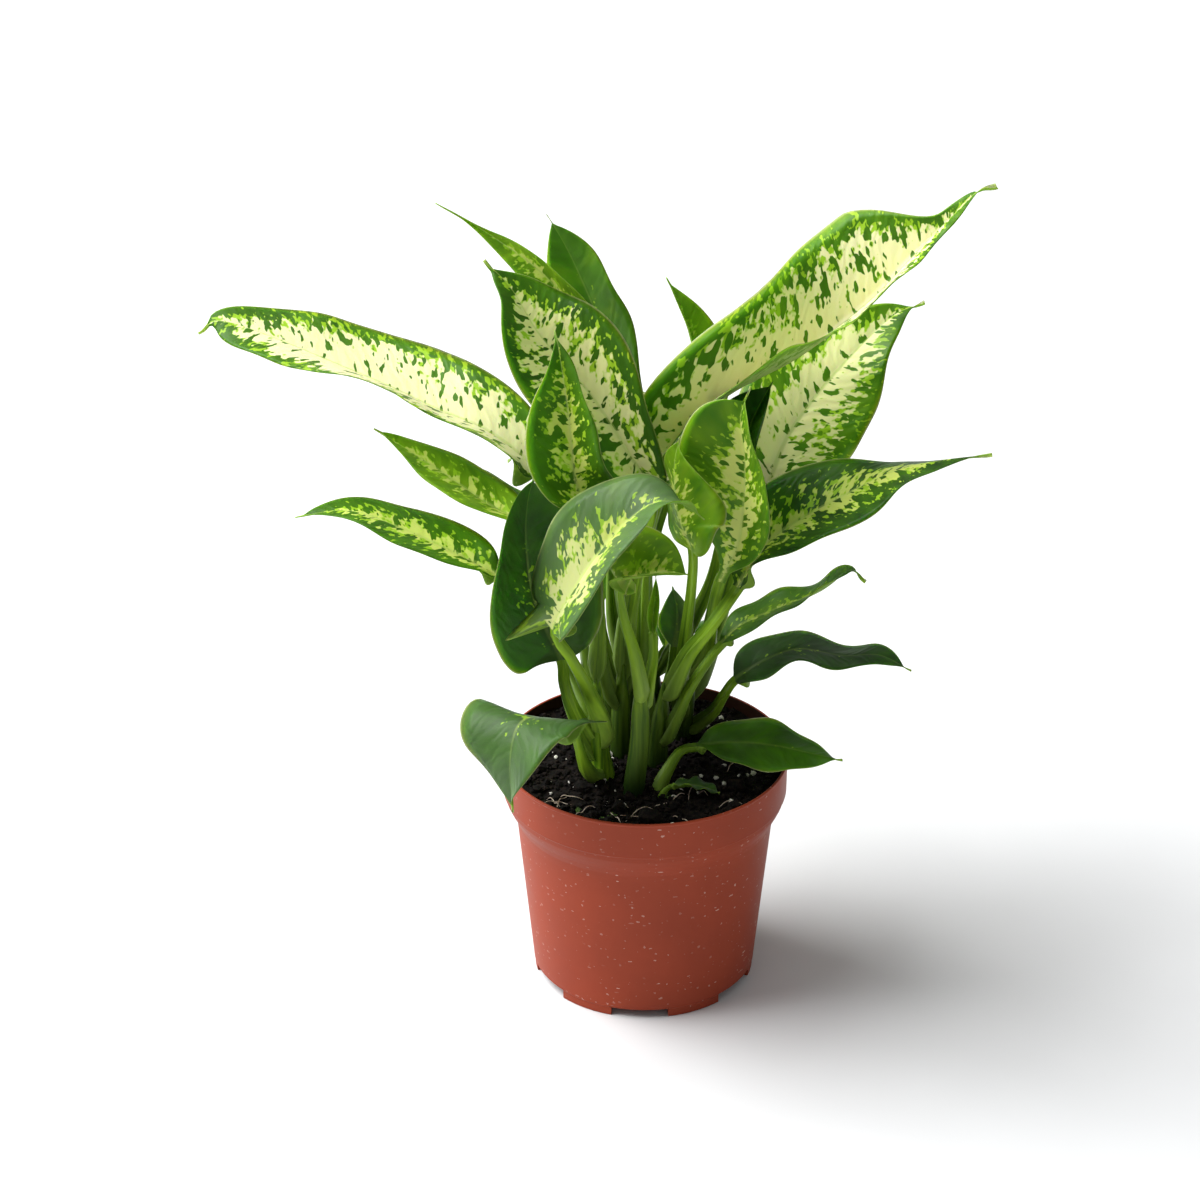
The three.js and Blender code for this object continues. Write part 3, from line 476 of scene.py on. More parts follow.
def leaf_blade_material(name, underside, colours):
    """Living dieffenbachia leaf: a grown, waxy lamina. Chlorophyll-free cells run from the midrib
    along the side veins, so the cream is feathered at its edge, flecked with yellow-green and broken
    by short deep green marks. The wax gives a soft satin sheen, some leaves carry patches of grey-green
    painted sheen in their colour, and the underside is paler and duller."""
    material, add = new_material(name)
    side, climb, _ = add("SeparateXYZ", [add("UVMap", uv_map=LEAF_MAP)]).outputs
    side_share, rib_share, _ = add("SeparateXYZ", [add("UVMap", uv_map=SHARE_MAP)]).outputs
    cream_reach, shade, bloom, seed = (
        add("Attribute", attribute_name=key).outputs["Fac"] for key in ("cream", "shade", "bloom", "seed"))

    # A side vein keeps one value of "vein" as it runs out from the midrib and bends to the tip.
    across = add("Math", [side], operation="ABSOLUTE")
    lean = add("Math", [across, -VEIN_LEAN, climb], operation="MULTIPLY_ADD")
    bent = add("Math", [across, across], operation="MULTIPLY")
    vein = add("Math", [bent, -VEIN_BEND, lean], operation="MULTIPLY_ADD")
    # Each half of each leaf has its own layer of the noise. The patches of the pattern lean less
    # than the veins, so that they stay rounded.
    hand = add("Math", [side], operation="SIGN")
    layer = add("Math", [hand, 3.7, seed], operation="MULTIPLY_ADD")
    slant = add("Math", [across, -PATCH_LEAN, climb], operation="MULTIPLY_ADD")
    feathered = add("CombineXYZ", [slant, across, layer])
    edge_run, mark_run, speck_run = (
        add("VectorMath", [feathered, (1, squeeze, 1), shift], operation="MULTIPLY_ADD")
        for squeeze, shift in ((0.85, (0, 0, 0)), (0.5, (7, 5, 11)), (0.9, (3, 9, 4))))
    blotch, fleck, mark, speck = (
        add("TexNoise", {"Vector": run, "Scale": 100 / spacing, "Detail": detail, "Roughness": roughness})
        for run, spacing, detail, roughness in (
            (edge_run, BLOTCH_MM, 2, 0.5), (edge_run, FLECK_MM, 1.5, 0.55),
            (mark_run, MARK_MM, 1.5, 0.5), (speck_run, SPECK_MM, 1, 0.5)))

    # How far inside the cream a point lies: the cream follows the midrib and ends before the
    # margin and the tip of the blade.
    out = add("Math", [side_share], operation="ABSOLUTE")
    ends = add("MapRange", [rib_share, 0.66, 1, 0, 0.75], interpolation_type="SMOOTHSTEP")
    core = add("Math", [cream_reach, out], operation="SUBTRACT")
    core = add("Math", [core, ends], operation="SUBTRACT")
    field = add("MapRange", [out, 0.75, 1, -0.94, -1.25])
    for part, weight in ((core, 0.6), (blotch, 0.8), (fleck, 1.1)):
        field = add("Math", [part, weight, field], operation="MULTIPLY_ADD")
    edge = add("MapRange", [field, -0.02, 0.02, 0, 1])

    # The green is deeper on some leaves, with faint clouds, and mixed in patches towards a grey-green
    # painted sheen.
    clouds = add("TexNoise", {"Vector": edge_run, "Scale": CLOUDS, "Detail": 2})
    depth = add("Math", [clouds, 0.8, -0.4], operation="MULTIPLY_ADD")
    depth = add("Math", [depth, shade], operation="ADD")
    green = ramp(add("ValToRGB", [depth]), [
        (0.1, colours["young"]), (0.5, colours["mid"]), (1, colours["deep"])])
    sheen_cover = add("Math", [bloom, blotch], operation="MULTIPLY")
    sheen_cover = add("Math", [sheen_cover, 1.5], operation="MULTIPLY")
    green = add("Mix", {0: sheen_cover, 6: green, 7: colours["bloom"]}, data_type="RGBA")

    # Yellow-green specks lie in the green round the cream.
    halo = add("MapRange", [core, -0.95, 0.1, 0.8, 0.46])
    speckled = add("Math", [speck, halo], operation="SUBTRACT")
    specks = add("MapRange", [speckled, 0, 0.045, 0, 0.9])

    # The cream is whiter on the leaves that have most of it, and yellow-green at its edge.
    buttery = add("MapRange", [cream_reach, 0.3, 0.75, 1, 0])
    tinted = add("Mix", {0: buttery, 6: colours["cream"], 7: colours["butter"]}, data_type="RGBA")
    centre = add("MapRange", [field, 0, 0.1, 0, 1])
    cream = add("Mix", {0: centre, 6: colours["fleck"], 7: tinted}, data_type="RGBA")

    # Short marks of deep green are left in the cream, more of them towards its edge.
    crowd = add("MapRange", [core, 0.05, 0.75, 0.54, 0.62])
    inside = add("Math", [mark, crowd], operation="SUBTRACT")
    marks = add("MapRange", [inside, 0, 0.02, 0, 1])

    # The painted sheen greys the cream as well.
    haze = add("Math", [bloom, 0.3], operation="MULTIPLY")

    # The midrib is a pale line that thins out towards the tip, and the margin is a paler thread.
    rib_width = add("MapRange", [rib_share, 0, 0.85, 0.015, 0.003])
    rib_at = add("Math", [across, rib_width], operation="DIVIDE")
    rib_tone = add("MapRange", [cream_reach, -0.5, 0.2, 0.12, 0.45])
    midrib = add("MapRange", [rib_at, 0.4, 1, rib_tone, 0])
    margin = add("MapRange", [out, 0.965, 0.99, 0, 0.45])

    layers = [(specks, colours["fleck"]), (edge, cream), (marks, green), (haze, colours["bloom"]),
              (midrib, colours["rib"]), (margin, colours["rib"])]
    if underside:
        layers.append((0.72, colours["under"]))
    colour = green
    for cover, tint in layers:
        colour = add("Mix", {0: cover, 6: colour, 7: tint}, data_type="RGBA")

    # Side veins are faintly sunk in the upper face, unevenly spaced, over a fine cell grain.
    drift = add("Math", [blotch, 14], operation="MULTIPLY")
    wave = add("Math", [vein, math.tau * 100 / VEIN_MM, drift], operation="MULTIPLY_ADD")
    wave = add("Math", [wave], operation="COSINE")
    cells = add("TexNoise", {"Vector": edge_run, "Scale": 100 / CELL_MM, "Detail": 2})
    relief = add("Math", [cells, 0.7, wave], operation="MULTIPLY_ADD")
    bump = add("Bump", {"Strength": 0.2, "Distance": 0.3 * MM, "Height": relief})
    sheen = add("MapRange", [blotch, 0.3, 0.7, 0.38, 0.5])
    shader = add("BsdfPrincipled", {
        "Base Color": colour, "Roughness": 0.62 if underside else sheen, "IOR": 1.45,
        "Specular IOR Level": 0.16 if underside else 0.19, "Normal": bump,
        "Subsurface Weight": 0.35, "Subsurface Radius": (0.6, 1, 0.2), "Subsurface Scale": 2 * MM})
    add("OutputMaterial", {"Surface": shader})
    return material


def stalk_skin(name, colours, run, stretch, foot_shade_heights, relief, look, sheathed=False):
    """Smooth green skin with lengthwise strands, with painted shade that darkens it towards the soil. Leaf
    stalks and canes share it: run names the map that the strands follow, or nothing for the object's space."""
    material, add = new_material(name)
    coords = add("TexCoord").outputs["Object"]
    stretched = add("Mapping", {"Vector": add("UVMap", uv_map=run) if run else coords, "Scale": stretch})
    strands = add("TexNoise", {"Vector": stretched, "Scale": 1, "Detail": 3})
    colour = ramp(add("ValToRGB", [strands]), [(0.35, colours["stalk_dark"]), (0.65, colours["stalk"])])
    if sheathed:
        climb = add("SeparateXYZ", [add("UVMap", uv_map=SHARE_MAP)]).outputs[1]
        pale = add("MapRange", [climb, -1, -0.5, 0.3, 0])
        colour = add("Mix", {0: pale, 6: colour, 7: colours["sheath"]}, data_type="RGBA")
    # Painted shade: low on the piece the skin is mixed towards a dark green, by the share held in its
    # attribute.
    height = add("SeparateXYZ", [coords]).outputs[2]
    tone = add("Attribute", attribute_name="tone").outputs["Fac"]
    dark = add("MapRange", [height, *foot_shade_heights, tone, 0])
    colour = add("Mix", {0: dark, 6: colour, 7: colours["stalk_foot"]}, data_type="RGBA")
    bump = add("Bump", {"Strength": relief, "Distance": 0.4 * MM, "Height": strands})
    shader = add("BsdfPrincipled", {
        "Base Color": colour, "Specular IOR Level": 0.17, "Normal": bump, **look})
    add("OutputMaterial", {"Surface": shader})
    return material


def petiole_material(colours):
    """Fleshy leaf stalk: smooth wet-looking green skin with pale lengthwise strands, paler in its
    sheath."""
    return stalk_skin(
        "fleshy_petiole_skin", colours, LEAF_MAP, (60, 2.2, 1), (98 * MM, 165 * MM), 0.25,
        {"Roughness": 0.45, "Subsurface Weight": 0.15, "Subsurface Radius": (0.8, 1, 0.3),
         "Subsurface Scale": 2 * MM}, sheathed=True)


def cane_material(colours):
    """Young cane wrapped in the sheaths of its leaves: smooth green skin with lengthwise strands,
    1.4 mm apart, with painted shade that darkens it towards the soil."""
    return stalk_skin("sheathed_green_cane", colours, "", (700, 700, 22), (100 * MM, 170 * MM), 0.3,
                      {"Roughness": 0.48})


def pot_material(colours):
    """Injection-moulded polypropylene: a satin skin dyed right through, with dust, short pale
    scuffs that lie level and a few crumbs of soil from handling."""
    material, add = new_material("moulded_polypropylene")
    coords = add("TexCoord").outputs["Object"]
    haze = add("TexNoise", {"Vector": coords, "Scale": 28, "Detail": 5, "Roughness": 0.6})
    colour = ramp(add("ValToRGB", [haze]), [(0.3, colours["pot_shade"]), (0.7, colours["pot"])])
    # The dust lies thicker in some places than in others, and no grain of it is quite round.
    settled = add("MapRange", [haze, 0.4, 0.6, 0.3, 1])
    uneven = add("TexNoise", {"Vector": coords, "Scale": 900, "Detail": 1}).outputs["Color"]
    # Each layer: stretch, cells in a metre, share of cells left bare, size in a cell, tint, strength
    for stretch, scale, bare, size, tint, strength in (
            ((1, 1, 1.2), 400, 0.35, 0.26, colours["dust"], 0.42),
            ((1, 1, 3.2), 170, 0.45, 0.2, colours["dust"], 0.6),
            ((1, 1, 1), 95, 0.9, 0.09, colours["soil"], 0.8)):
        spread = add("Mapping", {"Vector": coords, "Scale": stretch})
        spread = add("VectorMath", [uneven, (1.6 * MM,) * 3, spread], operation="MULTIPLY_ADD")
        cells = add("TexVoronoi", {"Vector": spread, "Scale": scale})
        lot, faintness, _ = add("SeparateColor", [cells.outputs["Color"]]).outputs
        reach = add("MapRange", [lot, bare, 1, 0, size])
        grain = add("Math", [cells, reach], operation="LESS_THAN")
        for share in (faintness, strength, settled):
            grain = add("Math", [grain, share], operation="MULTIPLY")
        colour = add("Mix", {0: grain, 6: colour, 7: tint}, data_type="RGBA")
    # The inside of the wall above the band is painted in the soil's colour: partly a soil stain, partly
    # painted shade inside the rim.
    centred = add("VectorMath", [coords, tuple(POT_AXIS)], operation="SUBTRACT")
    level = add("VectorMath", [centred, (1, 1, 0)], operation="MULTIPLY")
    radius = add("VectorMath", [level], operation="LENGTH")
    inside = RIM_RADIUS - WALL
    within = add("MapRange", [radius, (inside + 0.1) * MM, (inside + 0.3) * MM, 0.94, 0])
    high = add("SeparateXYZ", [centred]).outputs[2]
    raised = add("Math", [high, BAND_STRAIGHT * MM], operation="GREATER_THAN")
    stain_and_shade = add("Math", [within, raised], operation="MULTIPLY")
    colour = add("Mix", {0: stain_and_shade, 6: colour, 7: colours["soil"]}, data_type="RGBA")
    bump = add("Bump", {"Strength": 0.1, "Distance": 0.2 * MM, "Height": haze})
    rough = add("MapRange", [haze, 0.3, 0.7, 0.42, 0.56])
    shader = add("BsdfPrincipled", {
        "Base Color": colour, "Roughness": rough, "Specular IOR Level": 0.16, "Normal": bump})
    add("OutputMaterial", {"Surface": shader})
    return material


def grained_material(name, grain, stops, look, relief=None):
    """Stuff whose tint follows one grain, and so does its relief where it has one. The soil, what
    lies on it and the floor share it."""
    material, add = new_material(name)
    cells = add("TexNoise", {"Vector": add("TexCoord").outputs["Object"], **grain})
    shader = {"Base Color": ramp(add("ValToRGB", [cells]), stops), **look}
    if relief:
        shader["Normal"] = add("Bump", {"Height": cells, **relief})
    add("OutputMaterial", {"Surface": add("BsdfPrincipled", shader)})
    return material


def soil_material(colours):
    """Damp peat-based potting soil: nearly black brown crumbs of 2.4 mm that barely shine."""
    return grained_material(
        "damp_peat_soil", {"Scale": 420, "Detail": 6, "Roughness": 0.7},
        [(0.45, colours["soil_dark"]), (0.72, colours["soil"])],
        {"Roughness": 0.85, "Specular IOR Level": 0.15}, {"Strength": 0.9, "Distance": 1.2 * MM})


def mineral_material(colours):
    """Expanded perlite: foamed volcanic glass, chalk white and matt, with open pores of 0.6 mm."""
    return grained_material(
        "expanded_perlite", {"Scale": 1800, "Detail": 3},
        [(0.3, colours["perlite_dark"]), (0.6, colours["perlite"])],
        {"Roughness": 0.9}, {"Strength": 0.6, "Distance": 0.3 * MM})


def moss_material(colours):
    """Living cushion moss: soft matt green tufts with yellow tips, 1.1 mm apart."""
    return grained_material(
        "cushion_moss", {"Scale": 900, "Detail": 3},
        [(0.35, colours["moss_dark"]), (0.65, colours["moss"])],
        {"Roughness": 0.9}, {"Strength": 0.8, "Distance": 0.5 * MM})


def root_material(colours):
    """Dried feeder roots: pale fibrous threads, browner every 4 mm or so, where soil clings."""
    return grained_material(
        "dried_feeder_root", {"Scale": 260, "Detail": 3},
        [(0.35, colours["root_dark"]), (0.6, colours["root"])], {"Roughness": 0.7})


def floor_material(colours):
    """Seamless paper sweep: plain, matt and almost white, with a faint unevenness."""
    return grained_material(
        "seamless_paper", {"Scale": 12, "Detail": 2},
        [(0.3, colours["floor_shade"]), (0.7, colours["floor"])], {"Roughness": 0.9})


# ---- Settings that a user would change ----
def colour_property(name, description, code):
    return bpy.props.FloatVectorProperty(
        name=name, description=description, subtype="COLOR", size=4, min=0, max=1,
        default=hex_colour(code))


class PlantColours(bpy.types.PropertyGroup):
    """Colours of the leaves and stalks."""

    cream: colour_property("Cream", "Cells of the blade that hold no green", "dad8a8")
    butter: colour_property("Butter", "Cream of the leaves that have little of it", "bcc763")
    fleck: colour_property("Fleck", "Yellow-green edge of the cream and its flecks", "92b626")
    young: colour_property("Young green", "Green of the palest leaves", "779b18")
    mid: colour_property("Leaf green", "Green of most leaves", "426e08")
    deep: colour_property("Deep green", "Green of the darkest leaves", "1a3a04")
    rib: colour_property("Midrib", "Midrib and margin of the blade", "a8be60")
    under: colour_property("Underside", "Tint of the leaves' underside", "7a9a36")
    # Painted sheen: a grey-green that stands in for light reflected off some leaves.
    bloom: colour_property("Bloom", "Grey-green wax on some leaves", "4b613c")
    stalk: colour_property("Stalk", "Lit skin of the stalks", "86ab26")
    stalk_dark: colour_property("Stalk shade", "Darker strands of the stalks", "4a7012")
    # Painted shade: the dark green that stalks and canes are mixed towards near the soil.
    stalk_foot: colour_property("Stalk foot", "Dark green at the soil", "122605")
    sheath: colour_property("Sheath", "Pale foot of the stalks", "a9bf6a")


class PotColours(bpy.types.PropertyGroup):
    """Colours of the pot, the soil and what lies on it."""

    pot: colour_property("Pot", "Dyed plastic of the pot", "983f27")
    pot_shade: colour_property("Pot haze", "Darker clouds in the plastic", "8c3821")
    dust: colour_property("Dust", "Pale specks on the pot", "e6cabd")
    soil: colour_property("Soil", "Lit crumbs of the soil", "261b14")
    soil_dark: colour_property("Wet soil", "Darkest soil", "050302")
    perlite: colour_property("Perlite", "White grains in the soil", "e9e6de")
    perlite_dark: colour_property("Perlite shade", "Stained perlite", "b9b2a5")
    root: colour_property("Root", "Fine roots on the soil", "c9b8a8")
    root_dark: colour_property("Stained root", "Roots where soil clings", "7d6450")
    moss: colour_property("Moss", "Moss near the front rim", "5c7a2c")
    moss_dark: colour_property("Deep moss", "Moss between its tips", "1f3312")
    floor: colour_property("Floor", "Paper sweep", "dbdcdd")
    floor_shade: colour_property("Floor shade", "Uneven patches of the sweep", "d8d9da")


class PlantSizes(bpy.types.PropertyGroup):
    """Sizes of the small detail."""

    crumb: bpy.props.FloatProperty(
        name="Crumb", description="Mean radius of a soil crumb", default=0.0011,
        min=0.0002, max=0.005, unit="LENGTH")
    crumbs: bpy.props.IntProperty(
        name="Crumbs", description="How many loose crumbs lie on the soil", default=2600, min=0, max=6000)
    perlite: bpy.props.IntProperty(
        name="Perlite", description="How many perlite grains lie on the soil", default=120, min=0, max=400)
    seed: bpy.props.IntProperty(
        name="Seed", description="Start of the random draws", default=7, min=0)


def palette(group):
    """Colours of a settings group by name."""
    return {key: tuple(getattr(group, key)) for key in group.__annotations__}


# ---- Pieces: leaves ----
def blade_outline(leaf, u):
    """Half width of the blade at u along its midrib."""
    reach = min(u / (1 - leaf["tail"]), 1)
    front = leaf["taper"] * leaf["belly"] / (1 - leaf["belly"])
    peak = leaf["belly"] ** front * (1 - leaf["belly"]) ** leaf["taper"]
    drawn = 1 - leaf["pinch"] * smoothstep(PINCH_START, PINCH_END, u)
    shape = drawn * reach ** front * (1 - reach) ** leaf["taper"] / peak
    return max(leaf["width"] / 2 * shape, leaf["stalk_radius"] * math.sqrt(1 - u), TIP)


def leaf_stations(leaf):
    """What every cross-section of a leaf needs, from the foot of its stalk to its tip."""
    spine = Spine(leaf["stalk"] + leaf["rib"])
    base = spine.at_anchor(len(leaf["stalk"]))
    rib_length = spine.length - base
    heading = math.radians(leaf["heading"])
    side = Vector((math.sin(heading), -math.cos(heading), 0))
    reaches = [base * k / STALK_ROWS for k in range(STALK_ROWS)]
    for k in range(leaf["rows"] + 1):
        # The rows of the blade lie closer at its base and at its tip.
        even = k / leaf["rows"]
        reaches.append(base + rib_length * (even / 2 + (1 - math.cos(math.pi * even)) / 4))
    stations = []
    for reach in reaches:
        u = max(0, (reach - base) / rib_length)
        up = min(reach / base, 1)
        blade = smoothstep(0, BLADE_START, u)
        centre, tangent = spine.read(min(reach, spine.length))
        flat = (side - tangent * side.dot(tangent)).normalized()
        face = flat.cross(tangent)
        roll = math.radians(along(leaf["roll"], u) * up)
        flare = 1 + (STALK_FLARE - 1) * (1 - up) ** 2
        half = blade_outline(leaf, u) if u > 0 else (
            leaf["stalk_radius"] * flare * math.sqrt(min(0.04 + up / FOOT_ROUNDING, 1)))
        channel = lerp(*CHANNEL, smoothstep(0.25, 0.9, up))
        back = rib_length * math.sin(math.pi * u / LOBE_REACH) ** 2 if u < LOBE_REACH else 0
        pull = math.sin(math.pi * u / EAR_REACH) ** 2 if u < EAR_REACH else 0
        stations.append(dict(
            u=u, up=up, blade=blade, centre=centre, tangent=tangent, half=half, back=back, pull=pull,
            right=flat * math.cos(roll) + face * math.sin(roll),
            normal=face * math.cos(roll) - flat * math.sin(roll),
            fold=math.radians(lerp(channel, along(leaf["fold"], u), blade)),
            stalk_depth=half * lerp(*STALK_DEPTH, up), ridge=RIB * (1 - u) ** 2, reach=reach - base))
    return stations


def leaf_point(leaf, station, v, under):
    """Point of the leaf's skin at v across it, on its upper or its under face."""
    hand = (v > 0) - (v < 0)
    size = abs(v)
    fold, half, blade = station["fold"], station["half"], station["blade"]
    right, normal, tangent = station["right"], station["normal"], station["tangent"]
    out = right * (hand * math.cos(fold)) + normal * math.sin(fold)
    skin = normal * math.cos(fold) - right * (hand * math.sin(fold))
    ripple = leaf["wave"] * blade * v ** 2 * math.sin(math.tau * leaf["waves"] * station["u"] + hand)
    swell = Vector((v * half * SWELL_ACROSS, station["reach"] * SWELL_ALONG, leaf["width"]))
    ripple += SWELL * blade * size * noise.noise(swell)
    point = (station["centre"] + out * (half * size) - normal * (half * leaf["curl"] * blade * v ** 2)
             - tangent * (station["back"] * leaf["lobe"][0 if v < 0 else 1] * size) + skin * ripple
             + Vector(leaf["ear"]) * (station["pull"] * max(-v, 0) ** 3))
    distance = half * size
    point -= normal * (CREASE * blade * math.exp(-(distance / CREASE_HALF) ** 2))
    if under:
        # The sheet thins out to nothing at its edge; the stalk's back is round.
        sheet = BLADE * (1 - size ** 12) + station["ridge"] * math.exp(-(distance / RIB_HALF) ** 2)
        round_back = station["stalk_depth"] * math.sqrt(max(1 - v ** 2, 0))
        lean = normal.lerp(skin, min(distance / 1.5, 1))
        point -= lean * lerp(round_back, sheet, blade)
    return point


def cream_at(leaf, u):
    """How far the cream reaches from the midrib at u, as a share of the half width."""
    patch = leaf["patch"] * math.exp(-((u - PATCH_AT) / PATCH_REACH) ** 2)
    return leaf["cream"] + patch - leaf["fade"] * smoothstep(FADE_START, FADE_END, u)


def build_leaf(name, leaf, number, materials):
    """One leaf: stalk and blade in one closed skin, with its own pattern."""
    half_columns = leaf["across"]
    columns = 2 * half_columns
    stations = leaf_stations(leaf)
    rows = len(stations)
    turns = [2 * k / half_columns - 1 if k <= half_columns else 3 - 2 * k / half_columns
             for k in range(columns)]
    across = [math.copysign(abs(v) ** MIDRIB_CROWDING, v) for v in turns] + [-1.0]

    bm = bmesh.new()
    layers = [bm.verts.layers.float.new(key) for key in ("cream", "shade", "bloom", "seed", "tone")]
    millimetres = bm.loops.layers.uv.new(LEAF_MAP)
    shares = bm.loops.layers.uv.new(SHARE_MAP)
    cells = bmesh.ops.create_grid(bm, x_segments=columns, y_segments=rows, size=0.5)["verts"]
    spot = {vert: (round((vert.co.x + 0.5) * columns), round((vert.co.y + 0.5) * rows)) for vert in cells}
    for face in bm.faces:
        middle = face.calc_center_median()
        row_middle = (middle.y + 0.5) * rows - 1
        face.material_index = 2 if row_middle < STALK_ROWS else int(middle.x > 0)
        for loop in face.loops:
            column, row = spot[loop.vert]
            station, v = stations[max(row - 1, 0)], across[column]
            share = station["u"] if station["u"] > 0 else station["up"] - 1
            loop[millimetres].uv = (v * station["half"] / 100, station["reach"] / 100)
            loop[shares].uv = (v, share)
    for vert, (column, row) in spot.items():
        station, v = stations[max(row - 1, 0)], across[column % columns]
        point = station["centre"] if row == 0 else leaf_point(
            leaf, station, v, half_columns < column < columns)
        vert.co = inside_box(place(*point))
        # The ear is painted a younger, paler green: a painted highlight where light falls on its top.
        shade = leaf["shade"] - station["pull"] * max(-v, 0) * any(leaf["ear"])
        looks = (cream_at(leaf, station["u"]), shade, leaf["bloom"], number * SEED_STEP, leaf["tone"])
        for layer, value in zip(layers, looks):
            vert[layer] = value
    bmesh.ops.remove_doubles(bm, verts=cells, dist=1e-7)
    ends = [edge for edge in bm.edges if edge.is_boundary]
    bmesh.ops.holes_fill(bm, edges=ends, sides=0)
    return finish_piece(f"leaf_skin_{name}", bm, materials, [f"leaf_{name}"])


# ---- Pieces: canes ----
def build_cane(name, path, foot_shade_share, material):
    """Short tapered cane wrapped in a leaf sheath, whose edge shows as a step up its side."""
    start = (path[0][0], path[0][1], CANE_BOTTOM)
    spine = Spine([start, *path])
    rows, columns = 60, 28
    ground, top = path[0][2], path[-1][2]

    def point_at(column, row):
        if row == 0 or row == rows:
            return place(*spine.read(0 if row == 0 else spine.length)[0])
        share = (row - 1) / (rows - 2)
        centre, tangent = spine.read(spine.length * share)
        rise = min(max((centre.z - ground) / (top - ground), 0), 1)
        sheath = SHEATH_STEP * ((column / columns + SHEATH_TURN) % 1 - 0.5)
        radius = lerp(CANE_BASE, CANE_TOP, rise) + sheath
        radius *= 1 - CANE_POINT * smoothstep(POINT_START, POINT_END, share)
        turn = math.tau * column / columns
        return place(centre.x + radius * math.cos(turn), centre.y + radius * math.sin(turn), centre.z)

    bm = bmesh.new()
    tone = bm.verts.layers.float.new("tone")
    wrapped_skin(bm, columns, rows, point_at)
    # Every vertex carries the share of painted shade at the cane's foot.
    for vert in bm.verts:
        vert[tone] = foot_shade_share
    return finish_piece(f"cane_skin_{name}", bm, [material], [f"cane_{name}"])


# ---- Pieces: pot ----
def rounded(profile, radius, steps=3):
    """Profile with each inner corner replaced by a short arc."""
    points = [Vector(p) for p in profile]
    result = []
    count = len(points)
    for i, corner in enumerate(points):
        before, after = points[i - 1], points[(i + 1) % count]
        cut = min(radius, (corner - before).length * 0.45, (corner - after).length * 0.45)
        start = corner + (before - corner).normalized() * cut
        end = corner + (after - corner).normalized() * cut
        for k in range(steps + 1):
            t = k / steps
            result.append(start.lerp(corner, t).lerp(corner.lerp(end, t), t))
    return result


def build_pot(material):
    """Moulded pot: a turned wall on a notched foot ring, and a floor with drain holes."""
    inner = NECK_RADIUS - WALL
    profile = rounded([
        (FOOT_RADIUS - RING_WALL, 0), (FOOT_RADIUS - LEDGE, 0),
        (FOOT_RADIUS - LEDGE, LEDGE_HEIGHT), (FOOT_RADIUS, LEDGE_HEIGHT + LEDGE), (FOOT_RADIUS, 5),
        *SHOULDER, (RIM_RADIUS - LIP, POT_HEIGHT - 3 * LIP), (RIM_RADIUS, POT_HEIGHT - 2 * LIP),
        (RIM_RADIUS, POT_HEIGHT), (RIM_RADIUS - WALL, POT_HEIGHT),
        (RIM_RADIUS - WALL, BAND_STRAIGHT + 0.5), (inner, BAND_FOOT + 0.5),
        (FOOT_RADIUS + 0.5 - WALL, FLOOR_TOP), (FOOT_RADIUS - RING_WALL, FLOOR_UNDER),
    ], 0.5)
    bm = bmesh.new()
    turn = Matrix.Rotation(math.radians(NOTCH_FACING), 4, "Z")
    ring = [bm.verts.new(turn @ Vector((p.x, 0, p.y))) for p in profile]
    edges = [bm.edges.new((a, b)) for a, b in zip(ring, ring[1:] + ring[:1])]
    steps = 216
    bmesh.ops.spin(bm, geom=ring + edges, cent=(0, 0, 0), axis=(0, 0, 1), dvec=(0, 0, 0),
                   angle=math.tau, steps=steps, use_merge=True, use_duplicate=False)
    # The wall's foot is lifted into the notches, with a steep flank of one step at each side.
    step, spacing, flank = 360 / steps, 360 / NOTCHES, 0.15
    for vert in bm.verts:
        radius = math.hypot(vert.co.x, vert.co.y)
        degrees = math.degrees(math.atan2(vert.co.y, vert.co.x)) - NOTCH_FACING
        offset = (degrees + spacing / 2) % spacing - spacing / 2
        gap = abs(offset) - NOTCH_ANGLE / 2
        low = vert.co.z < FOOT_LEVEL
        if step / 2 < gap < step * 1.5 and low:
            turned = math.radians(degrees + NOTCH_FACING - math.copysign(gap - flank, offset))
            vert.co.x, vert.co.y = radius * math.cos(turned), radius * math.sin(turned)
        elif gap < step / 2 and low:
            vert.co.z += NOTCH_HEIGHT
    # The floor is a plate with holes, let a little into the wall.
    let_in, gap = 0.4, 0.05
    circles = [(0, 0, FOOT_RADIUS - RING_WALL + let_in, 96)]
    for k in range(NOTCHES):
        angle = math.radians(NOTCH_FACING + 360 * k / NOTCHES)
        circles.append((DRAIN_CIRCLE * math.cos(angle), DRAIN_CIRCLE * math.sin(angle), DRAIN_RADIUS, 28))
    for x, y, radius, segments in circles:
        bmesh.ops.create_circle(bm, cap_ends=False, radius=radius, segments=segments,
                                matrix=Matrix.Translation((x, y, FLOOR_UNDER + gap)))
    outlines = [edge for edge in bm.edges if edge.is_wire]
    plate = bmesh.ops.triangle_fill(bm, edges=outlines, use_beauty=True)
    faces = [item for item in plate["geom"] if isinstance(item, bmesh.types.BMFace)]
    raised = bmesh.ops.extrude_face_region(bm, geom=faces, use_keep_orig=True)["geom"]
    lifted = [item for item in raised if isinstance(item, bmesh.types.BMVert)]
    bmesh.ops.translate(bm, verts=lifted, vec=(0, 0, FLOOR_TOP - FLOOR_UNDER - 2 * gap))
    bmesh.ops.transform(bm, matrix=Matrix.Translation(POT_AXIS) @ Matrix.Scale(MM, 4), verts=bm.verts)
    piece = finish_piece("pot_wall", bm, [material], ["pot"])
    piece.data.set_sharp_from_angle(angle=math.radians(40))
    return piece


